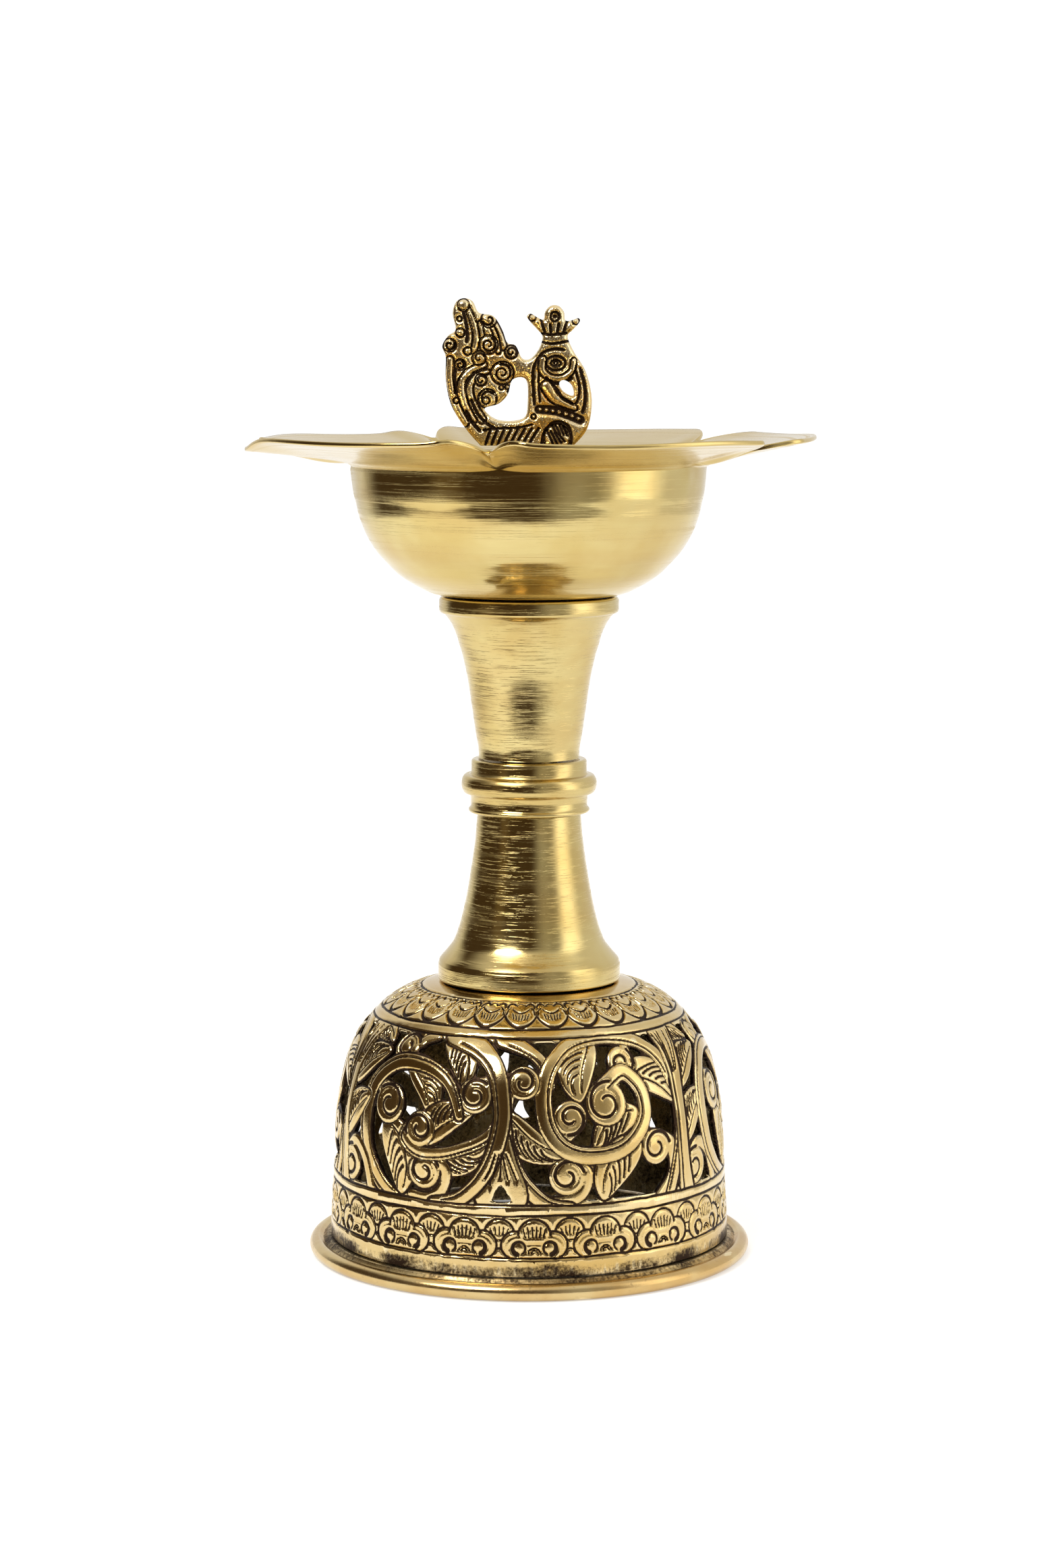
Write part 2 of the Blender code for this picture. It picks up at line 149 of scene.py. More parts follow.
def math_node(tree, operation, first, second=None, third=None):
    """A Math node whose operands are sockets or numbers; returns its output."""
    made = add_node(tree, "ShaderNodeMath", operation=operation)
    for socket, value in zip(made.inputs, (first, second, third)):
        if value is None:
            continue
        if isinstance(value, (int, float)):
            socket.default_value = value
        else:
            tree.links.new(value, socket)
    return made.outputs[0]


def ramp(tree, value, low, high):
    """0 below low and 1 above high, eased between them."""
    made = add_node(tree, "ShaderNodeMapRange", interpolation_type="SMOOTHSTEP")
    made.inputs["From Min"].default_value = low
    made.inputs["From Max"].default_value = high
    tree.links.new(value, made.inputs["Value"])
    return made.outputs["Result"]


def mix_colour(tree, amount, first, second):
    """A colour Mix node; colours and the amount are sockets or values."""
    made = add_node(tree, "ShaderNodeMix", data_type="RGBA")
    for number, value in ((0, amount), (6, first), (7, second)):
        socket = made.inputs[number]
        if isinstance(value, (int, float)):
            socket.default_value = value
        elif isinstance(value, tuple):
            socket.default_value = (*value, 1)
        else:
            tree.links.new(value, socket)
    return made.outputs[2]


def split_xyz(tree, vector):
    """The three parts of a vector."""
    made = add_node(tree, "ShaderNodeSeparateXYZ")
    tree.links.new(vector, made.inputs[0])
    return made.outputs


def own_place(tree):
    """Where a point lies on its own piece, in metres."""
    return add_node(tree, "ShaderNodeTexCoord").outputs["Object"]


def from_axis(tree, x, y):
    """How far a point is from the lamp's axis."""
    squares = [math_node(tree, "MULTIPLY", side, side) for side in (x, y)]
    return math_node(tree, "SQRT", math_node(tree, "ADD", *squares))


def light_table(tree):
    """The table glows evenly white, but its glow fades to a painted shadow under and round the dome."""
    x, y, _ = split_xyz(tree, own_place(tree))
    lit = ramp(tree, from_axis(tree, x, y), SHADE_R, LIT_R)
    glow = math_node(tree, "MULTIPLY", lit, TABLE_GLOW)
    tree.links.new(glow, tree.nodes["Principled BSDF"].inputs["Emission Strength"])


light_table(white_tree)

# What stands round the lamp: the bearings, in degrees, over which it begins and over
# which it ends, and its light. Later ones lie over earlier ones, and all end higher up.
OPEN_FRONT = ((-142, -116), (4, 44), (0.075, 0.050, 0.028))
DIM_CORNER = ((4, 44), (42, 66), (0.42, 0.40, 0.36))
BROWN_WALL = ((-70, -58), (-54, -38), (0.17, 0.125, 0.075))
BRIGHT_PANEL = ((50, 70), (76, 104), (2.1, 2.05, 1.95))
ENDS_OVER = (34, 64)
TENT_WHITE = (0.90, 0.89, 0.87)
BACKDROP_WHITE = (1.15, 1.15, 1.15)


def ramp_degrees(tree, bearing, span):
    """0 before a span of bearings and 1 after it."""
    return ramp(tree, bearing, math.radians(span[0]), math.radians(span[1]))


def dress_tent(tree):
    """Paints the tent on the world, by bearing and height; the backdrop is plain white."""
    tree.nodes.clear()
    across, away, up = split_xyz(tree, add_node(tree, "ShaderNodeTexCoord").outputs["Generated"])
    bearing = math_node(tree, "ARCTAN2", across, math_node(tree, "MULTIPLY", away, -1.0))
    roof = ramp(tree, up, *(math.sin(math.radians(height)) for height in ENDS_OVER))
    low = math_node(tree, "SUBTRACT", 1.0, roof)
    walls = TENT_WHITE
    for begins, ends, light in (OPEN_FRONT, DIM_CORNER, BROWN_WALL, BRIGHT_PANEL):
        begun, ended = ramp_degrees(tree, bearing, begins), ramp_degrees(tree, bearing, ends)
        there = math_node(tree, "MULTIPLY", math_node(tree, "SUBTRACT", begun, ended), low)
        walls = mix_colour(tree, there, walls, light)
    seen = add_node(tree, "ShaderNodeLightPath").outputs["Is Camera Ray"]
    shader = add_node(tree, "ShaderNodeBackground")
    tree.links.new(mix_colour(tree, seen, walls, BACKDROP_WHITE), shader.inputs[0])
    tree.links.new(shader.outputs[0], add_node(tree, "ShaderNodeOutputWorld").inputs[0])


dress_tent(tent.node_tree)


# ---------------------------------------------------------------- Foot ring
# A cast brass plate rolled down into a bead at its edge and turned on the lathe, with
# painted shade in the angle under the dome. The dome is soldered to it.
def smooth_line(points, per_span, closed=False):
    """A Catmull-Rom curve through the points, per_span straight pieces between two."""
    p = np.array(points, float)
    p = np.vstack([p[-1:], p, p[:2]]) if closed else np.vstack([p[:1], p, p[-1:]])
    t = np.arange(per_span)[:, None] / per_span
    spans = []
    for a, b, c, d in zip(p, p[1:], p[2:], p[3:]):
        bend = (2 * a - 5 * b + 4 * c - d) * t**2 + (3 * b - a - 3 * c + d) * t**3
        spans.append(0.5 * (2 * b + (c - a) * t + bend))
    if not closed:
        spans.append(p[-1:])
    return np.vstack(spans)


def arc(centre, radius, start, end, count):
    """Points on a circle from start to end degrees, count straight pieces between."""
    turn = np.radians(np.linspace(start, end, count + 1))
    return np.c_[centre[0] + radius * np.cos(turn), centre[1] + radius * np.sin(turn)]


def show(name, mesh, material, body, slot, *nodes):
    """Puts a finished mesh in the scene as the piece that stands for CAD nodes."""
    mesh.materials.append(material)
    piece = bpy.data.objects.new(name, mesh)
    bpy.context.scene.collection.objects.link(piece)
    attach(piece, body)
    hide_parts(*nodes)
    return piece


def smooth_faces(mesh, crease):
    """Shades a mesh smooth, but for edges that turn by more than crease degrees."""
    mesh.shade_smooth()
    mesh.set_sharp_from_angle(angle=math.radians(crease))
    return mesh


def set_hollow_and_shade(mesh, depth):
    """Writes how dark each point is made, from 0 to 1: patina in its hollows, and painted shade on some
    pieces.
    """
    layer = mesh.attributes.new("hollow_and_shade", "FLOAT", "POINT")
    layer.data.foreach_set("value", depth.astype(np.float32))


def turned(name, outline, steps, crease=38, wobble=0.0):
    """The mesh of an outline (radius, height) turned about the axis; it runs down its
    outer side. Wobble is how far the hand-held tool wandered, in metres."""
    outline = np.array(outline, float)
    turn = np.linspace(0, 2 * math.pi, steps, endpoint=False)
    points, rings = [], []
    for r, z in outline:
        if r < 1e-6:
            rings.append([len(points)] * steps)
            points.append((0, 0, z))
            continue
        wander = r + wobble * (np.sin(3 * turn + 900 * z) + np.sin(5 * turn - 400 * z)) / 2
        rings.append(list(range(len(points), len(points) + steps)))
        points.extend(zip(wander * np.cos(turn), wander * np.sin(turn), [z] * steps))
    faces = []
    for upper, lower in zip(rings, rings[1:] + rings[:1]):
        if upper[0] == upper[1] and lower[0] == lower[1]:
            continue
        for i in range(steps):
            j = (i + 1) % steps
            corners = [upper[i], lower[i], lower[j], upper[j]]
            faces.append([c for n, c in enumerate(corners) if c != corners[n - 1]])
    mesh = bpy.data.meshes.new(name)
    mesh.from_pydata(points, [], faces)
    return smooth_faces(mesh, crease)


def new_group(name, inputs, outputs):
    """An empty shader node group with named inputs (and defaults) and outputs."""
    tree = bpy.data.node_groups.new(name, "ShaderNodeTree")
    for label, kind, value in inputs:
        socket = tree.interface.new_socket(label, in_out="INPUT", socket_type=kind)
        socket.default_value = value
    for label, kind in outputs:
        tree.interface.new_socket(label, in_out="OUTPUT", socket_type=kind)
    entry = tree.nodes.new("NodeGroupInput")
    leave = tree.nodes.new("NodeGroupOutput")
    return tree, entry.outputs, leave.inputs


def noise(tree, at, scale, detail=3.0, rough=0.55):
    """A Noise node's value; scale is its lumps in a metre."""
    made = add_node(tree, "ShaderNodeTexNoise")
    made.inputs["Scale"].default_value = scale
    made.inputs["Detail"].default_value = detail
    made.inputs["Roughness"].default_value = rough
    tree.links.new(at, made.inputs["Vector"])
    return made.outputs["Fac"]


def make_turning_lines():
    """Rings that the tool leaves: noise along height and radius, drawn out round the
    axis. Breaks is how often a ring fades as it goes round."""
    tree, given, gives = new_group(
        "Turning lines",
        [
            ("Pitch", "NodeSocketFloat", 0.00045),
            ("Seed", "NodeSocketFloat", 0.0),
            ("Breaks", "NodeSocketFloat", 0.9),
        ],
        [("Height", "NodeSocketFloat"), ("Streak", "NodeSocketFloat")],
    )
    x, y, z = split_xyz(tree, own_place(tree))
    slant = math_node(tree, "MULTIPLY_ADD", from_axis(tree, x, y), 0.6, z)
    along = math_node(tree, "DIVIDE", slant, given["Pitch"])
    turn = math_node(tree, "ARCTAN2", x, y)
    sine, cosine = math_node(tree, "SINE", turn), math_node(tree, "COSINE", turn)
    round_x = math_node(tree, "MULTIPLY", sine, given["Breaks"])
    round_y = math_node(tree, "MULTIPLY_ADD", cosine, given["Breaks"], given["Seed"])
    ring = add_node(tree, "ShaderNodeCombineXYZ")
    for part, socket in zip((round_x, round_y, along), ring.inputs):
        tree.links.new(part, socket)
    fine = noise(tree, ring.outputs[0], 0.5, 4.0, 0.6)
    broad = add_node(tree, "ShaderNodeVectorMath", operation="MULTIPLY")
    broad.inputs[1].default_value = (1.0, 1.0, 0.09)
    tree.links.new(ring.outputs[0], broad.inputs[0])
    tree.links.new(fine, gives["Height"])
    tree.links.new(noise(tree, broad.outputs[0], 1.0, 3.0, 0.6), gives["Streak"])
    return tree


TARNISH_BROWN = (0.16, 0.09, 0.035)
SMOOTHEST = 0.06


def make_brass_tone():
    """Brass that has been handled: warm and pale areas, fine specks and a thin tarnish."""
    tree, given, gives = new_group(
        "Brass tone",
        [
            ("Pale", "NodeSocketColor", (0.86, 0.70, 0.38, 1)),
            ("Warm", "NodeSocketColor", (0.76, 0.52, 0.20, 1)),
            ("Tarnish", "NodeSocketFloat", 0.15),
            ("Shine", "NodeSocketFloat", 0.16),
        ],
        [
            ("Colour", "NodeSocketColor"),
            ("Roughness", "NodeSocketFloat"),
            ("Dents", "NodeSocketFloat"),
        ],
    )
    place = own_place(tree)
    broad = noise(tree, place, 70, 3.0)
    specks = noise(tree, place, 900, 4.0, 0.7)
    brass = mix_colour(tree, ramp(tree, broad, 0.35, 0.68), given["Pale"], given["Warm"])
    spots = math_node(tree, "MULTIPLY", ramp(tree, specks, 0.60, 0.78), given["Tarnish"])
    tree.links.new(mix_colour(tree, spots, brass, TARNISH_BROWN), gives["Colour"])
    grain = math_node(tree, "MULTIPLY_ADD", math_node(tree, "SUBTRACT", specks, 0.5), 0.8, 1.0)
    haze = math_node(tree, "MULTIPLY_ADD", math_node(tree, "SUBTRACT", broad, 0.5), 0.7, grain)
    uneven = math_node(tree, "MULTIPLY", given["Shine"], haze)
    tree.links.new(math_node(tree, "MAXIMUM", uneven, SMOOTHEST), gives["Roughness"])
    tree.links.new(noise(tree, place, 160, 2.0, 0.5), gives["Dents"])
    return tree


def make_patina_and_shade():
    """Black wax and old polish that stays in the chased hollows, worn off the crests. The same mask also
    paints shade, in the foot ring's angle under the dome and inside the dome.
    """
    tree, given, gives = new_group(
        "Patina_and_shade",
        [("Hollow_and_shade", "NodeSocketFloat", 0.0), ("Reach", "NodeSocketFloat", 0.5)],
        [("Mask", "NodeSocketFloat"), ("Crest", "NodeSocketFloat")],
    )
    place = own_place(tree)
    ragged, clouds = (
        math_node(tree, "MULTIPLY", math_node(tree, "SUBTRACT", spread, 0.5), 0.5)
        for spread in (noise(tree, place, 1400, 4.0, 0.7), noise(tree, place, 120, 3.0))
    )
    edge = add_node(tree, "ShaderNodeNewGeometry").outputs["Pointiness"]
    level = math_node(tree, "ADD", math_node(tree, "ADD", given["Hollow_and_shade"], ragged), clouds)
    level = math_node(tree, "SUBTRACT", level, math_node(tree, "SUBTRACT", given["Reach"], 0.5))
    tree.links.new(ramp(tree, level, 0.32, 0.62), gives["Mask"])
    tree.links.new(ramp(tree, edge, 0.50, 0.56), gives["Crest"])
    return tree


turning_lines = make_turning_lines()
brass_tone = make_brass_tone()
patina_and_shade = make_patina_and_shade()


def place_group(tree, group, **values):
    """A shader node group with its own values for this material."""
    made = add_node(tree, "ShaderNodeGroup", node_tree=group)
    for name, value in values.items():
        made.inputs[name].default_value = value
    return made


def toned(tree, pale, warm, tarnish, shine):
    """The brass tone between a pale and a warm colour."""
    colours = {"Pale": (*pale, 1), "Warm": (*warm, 1)}
    return place_group(tree, brass_tone, **colours, Tarnish=tarnish, Shine=shine)


def bump(tree, height, strength, distance, over=None):
    """A Bump node's normal; over is the normal of a coarser one that it goes over."""
    made = add_node(tree, "ShaderNodeBump", in_0=strength, in_1=distance)
    tree.links.new(height, made.inputs["Height"])
    if over is not None:
        tree.links.new(over, made.inputs["Normal"])
    return made.outputs[0]


RUBBED_CREST = (0.80, 0.65, 0.37)
PATINA_AND_SHADE_BLACK = (0.035, 0.020, 0.012)


def antique_brass(name, pale, warm, shine=0.27, tarnish=0.35, reach=0.5, grit=0.00006):
    """Burnished brass with dark patina in its hollows and painted shade on some pieces, for chased and
    cast pieces.
    """
    made, tree, shader = new_material(name)
    tone = toned(tree, pale, warm, tarnish, shine)
    hollow_and_shade = add_node(tree, "ShaderNodeAttribute", attribute_name="hollow_and_shade").outputs["Fac"]
    stain_and_shade = place_group(tree, patina_and_shade, Reach=reach)
    tree.links.new(hollow_and_shade, stain_and_shade.inputs["Hollow_and_shade"])
    bright = mix_colour(tree, stain_and_shade.outputs["Crest"], tone.outputs["Colour"], RUBBED_CREST)
    # Black for patina in the hollows, and for painted shade on the ring and inside the dome.
    colour = mix_colour(tree, stain_and_shade.outputs["Mask"], bright, PATINA_AND_SHADE_BLACK)
    tree.links.new(colour, shader.inputs["Base Color"])
    rough = math_node(tree, "MULTIPLY_ADD", stain_and_shade.outputs["Mask"], 0.35, tone.outputs["Roughness"])
    tree.links.new(rough, shader.inputs["Roughness"])
    dents = bump(tree, tone.outputs["Dents"], 0.5, grit)
    grains = noise(tree, own_place(tree), 2600, 3.0, 0.6)
    tree.links.new(bump(tree, grains, 0.35, grit * 0.5, dents), shader.inputs["Normal"])
    return made


ROLL_R = 0.0017
PLATE_TOP = 0.0038
PLATE_INNER_R = 0.0389
PAINTED_SHADE_R = 0.0431
PAINTED_SHADE_FADE = 0.0006
PAINTED_SHADE_DEPTH = 0.5

ring_outline = np.vstack(
    [
        [(PLATE_INNER_R, PLATE_TOP), (0.0412, PLATE_TOP)],
        arc((0.0414, PLATE_TOP - 0.0005), 0.0005, 80, 10, 4),
        [(0.0425, 0.0029), (0.0429, 0.0030)],
        arc((0.0437, ROLL_R), ROLL_R, 100, -90, 24),
        [(0.0424, 0), (0.0416, 0.0008), (0.0413, 0.0025), (PLATE_INNER_R, 0.0025)],
    ]
)
ring_mesh = turned("foot_ring_cast", ring_outline, 288, wobble=0.00006)
# Painted shade: the plate is darkened inward of a radius, in the angle under the dome.
radii = np.array([math.hypot(v.co.x, v.co.y) for v in ring_mesh.vertices])
set_hollow_and_shade(ring_mesh, np.clip((PAINTED_SHADE_R - radii) / PAINTED_SHADE_FADE, 0, 1) * PAINTED_SHADE_DEPTH)
ring_brass = antique_brass(
    "antique_brass_ring", (0.62, 0.47, 0.22), (0.53, 0.33, 0.11), shine=0.22, tarnish=0.6
)
show("foot_ring_cast", ring_mesh, ring_brass, "base", "antique_brass", "foot_ring")


# ---------------------------------------------------------------- Pierced dome
# A cast bell-shaped wall, turned outside, then pierced and chased by hand: a band of
# flowers, a wide band of scrollwork cut right through, and a band of petals. Black
# patina stays in the chased lines.
UNROLL = 0.7
DOME_WALL_MM = 1.2
FOOT_RISE_MM = 0.3
DRAWING_TOP = 60.6
PLAIN_ROWS = np.array([61.6, 63.0, 64.8, 66.8, 68.8, 70.8, 73.0, 75.3])
DOME_OUTLINE_MM = (
    (41.0, 4.1), (40.95, 8.1), (40.7, 12.4), (40.4, 18.8), (40.1, 25.1), (39.8, 29.4), (39.2, 33.6),
    (38.3, 37.8), (37.1, 42.0), (35.0, 46.2), (33.3, 48.3), (31.5, 50.3), (29.1, 52.4),
    (25.5, 54.5), (22.0, 55.6), (18.5, 56.4), (15.0, 56.6), (6.3, 56.6),
)
CUT_MM = 0.26
CHASE_WIDTH = 1.2
CHASE_DEPTH = 0.32
FIELD = 0.42
SCROLL_LOW = 14.9
SCROLL_HIGH = 47.4
BAND_LINES = (
    (12.35, 0.42), (14.35, 0.42), (48.1, 0.40), (50.3, 0.42), (59.5, 0.36), (4.0, 0.3),
)
# Painted shade: the whole inside of the dome is darkened by this much.
INSIDE_PAINTED_SHADE = 0.36
JUNCTIONS = (-8, 112, 232)


def quarter_round(share):
    """The rise of a rounded edge, from 0 at the edge to 1 where share is 1."""
    return np.sqrt(np.clip(1 - (1 - np.clip(share, 0, 1)) ** 2, 0, 1))


def from_segment(px, py, a, b):
    """How far along a segment each point lies, from 0 to 1, and its distance from it."""
    d = b - a
    t = np.clip(((px - a[0]) * d[0] + (py - a[1]) * d[1]) / max(d @ d, 1e-9), 0, 1)
    return t, np.hypot(px - a[0] - t * d[0], py - a[1] - t * d[1])


class Relief:
    """A drawing in low relief on an unrolled surface, in millimetres. Later forms lie
    over earlier ones. solid is the distance inside the metal, crown the height of the
    surface, and groove how deep a chased line is, from 0 to 1."""

    def __init__(self, low, high, cell):
        self.cell = cell
        self.x = np.arange(low[0], high[0] - cell / 2, cell)
        self.y = np.arange(low[1], high[1] + cell / 2, cell)
        shape = (len(self.y), len(self.x))
        self.solid = np.full(shape, -9.0)
        self.crown = np.zeros(shape)
        self.groove = np.zeros(shape)
        self.round_trip = 0.0

    def depth_in(self, line, half):
        """How far each point near a line lies inside it; half is its half width."""
        reach = half.max() + 1.2
        low, high = line.min(0) - reach, line.max(0) + reach
        rows = slice(*np.searchsorted(self.y, (low[1], high[1])))
        cols = slice(*np.searchsorted(self.x, (low[0], high[0])))
        px, py = np.meshgrid(self.x[cols], self.y[rows])
        best = np.full(px.shape, -9.0)
        for a, b, wa, wb in zip(line, line[1:], half, half[1:]):
            t, gap = from_segment(px, py, a, b)
            best = np.maximum(best, wa + t * (wb - wa) - gap)
        return (rows, cols), best

    def everywhere(self, line):
        """The line, and its copies a whole turn away where they reach the drawing."""
        if not self.round_trip:
            return [line]
        shifts = (-self.round_trip, 0.0, self.round_trip)
        copies = [line + (shift, 0) for shift in shifts]
        left, right = self.x[0] - 6, self.x[-1] + 6
        return [c for c in copies if c[:, 0].max() > left and c[:, 0].min() < right]

    def form(self, line, half, height, hem=0.95, domed=0.3):
        """A piece of metal along a line, rounded at its edges and a little domed, with a
        chased line of depth hem round it."""
        for copy in self.everywhere(line):
            at, deep = self.depth_in(copy, half)
            if deep.size == 0:
                continue
            self.solid[at] = np.maximum(self.solid[at], deep)
            over = np.clip(deep / 0.2, 0, 1)
            swell = (1 - domed) * quarter_round(deep / 0.5) + domed * quarter_round(deep / half.max())
            crown = height * swell
            self.crown[at] = self.crown[at] * (1 - over) + over * crown
            cut = hem * np.exp(-((deep / 0.25) ** 2))
            self.groove[at] = np.maximum(self.groove[at] * (1 - over), cut)

    def disc(self, x, y, radius, height, hem=0.95, domed=0.3):
        """A round piece of metal."""
        self.form(np.array([[x, y], [x + 0.01, y]]), np.full(2, radius), height, hem, domed)

    def pierce(self, line, half):
        """A hole along a line."""
        for copy in self.everywhere(line):
            at, deep = self.depth_in(copy, half)
            self.solid[at] = np.minimum(self.solid[at], -deep)

    def line(self, line, width, depth=1.0):
        """A chased line; width may differ along it."""
        half = np.broadcast_to(np.asarray(width, float) * CHASE_WIDTH / 2, (len(line),)).copy()
        for copy in self.everywhere(line):
            at, deep = self.depth_in(copy, half)
            if deep.size:
                cut = depth * np.clip(deep / max(half.max(), 0.1) + 0.6, 0, 1)
                self.groove[at] = np.maximum(self.groove[at], cut)


def beside(line, offset):
    """The line moved sideways, to its left for a positive offset."""
    d = np.gradient(line, axis=0)
    d /= np.maximum(np.hypot(d[:, 0], d[:, 1]), 1e-9)[:, None]
    return line + np.c_[-d[:, 1], d[:, 0]] * np.asarray(offset)[..., None]


def vine(relief, points, widths):
    """A stem of the scroll: half widths are spread evenly along it, and a thick stem has
    a chased line inside its left edge."""
    line = smooth_line(points, 7)
    run = np.r_[0, np.cumsum(np.hypot(*np.diff(line, axis=0).T))]
    half = np.interp(run / run[-1], np.linspace(0, 1, len(widths)), widths)
    relief.form(line, half, FIELD)
    if min(widths) > 0.85:
        relief.line(beside(line, half * 0.45)[3:-3], 0.32, 0.75)


def curl(relief, x, y, radius, tail, turn, stem, turns=1.15):
    """A volute at the end of a short stem that runs into its rim; turn is 1 where it
    winds anticlockwise. The chased spiral goes on from the stem's inner edge."""
    rim = radius - stem
    away = np.array(tail[-1], float) - (x, y)
    far = max(np.hypot(*away), rim * 1.02)
    start = math.atan2(away[1], away[0]) + turn * math.acos(rim / far)
    spin = start + turn * np.radians(np.arange(0, 331, 15))
    hoop = np.c_[x + rim * np.cos(spin), y + rim * np.sin(spin)]
    line = np.vstack([smooth_line([*tail, hoop[0]], 6)[:-1], hoop])
    relief.form(line, np.full(len(line), stem), 0.46, 0.6)
    if len(tail) > 5:
        relief.line(beside(line, np.full(len(line), stem * 0.45))[3:-24], 0.32, 0.75)
    relief.disc(x, y, rim, 0.46, 0)
    t = np.linspace(0, 1, 40)
    angle = start + turn * (t * turns * 2 * math.pi - 0.8)
    reach = radius * (0.27 + 0.69 * (1 - t) ** 1.2)
    relief.line(np.c_[x + reach * np.cos(angle), y + reach * np.sin(angle)], 0.50 - 0.14 * t)


def leaf(relief, base, tip, half, bend=0.0, cuts=5, side=1):
    """A curling leaf: full near its base, drawn to a point, with curved cuts that run
    from its spine to its outer edge."""
    base, tip = np.array(base, float), np.array(tip, float)
    t = np.linspace(0, 1, 20)
    run = tip - base
    across = np.array([-run[1], run[0]])
    line = base + run * t[:, None] + across * (bend * np.sin(math.pi * t))[:, None]
    width = 1.12 * half * np.sin(math.pi * t**0.75) ** 0.7 + 0.35 * (1 - t) + 0.12
    relief.form(line, width, 0.48)
    relief.line(beside(line, -side * width * 0.35)[1:-2], 0.32 - 0.14 * t[1:-2], 0.85)
    ahead = run / np.hypot(*run)
    out = np.array([-ahead[1], ahead[0]]) * side
    u = np.linspace(0, 1, 8)
    for k in range(cuts):
        s = 0.12 + 0.50 * (k / max(1, cuts - 1)) + 0.30 * u
        spine = np.stack([np.interp(s, t, line[:, i]) for i in (0, 1)], 1)
        cut = spine + out * (np.interp(s, t, width) * (-0.10 + 0.86 * u**0.7))[:, None]
        relief.line(cut, 0.38 - 0.14 * u, 0.9)


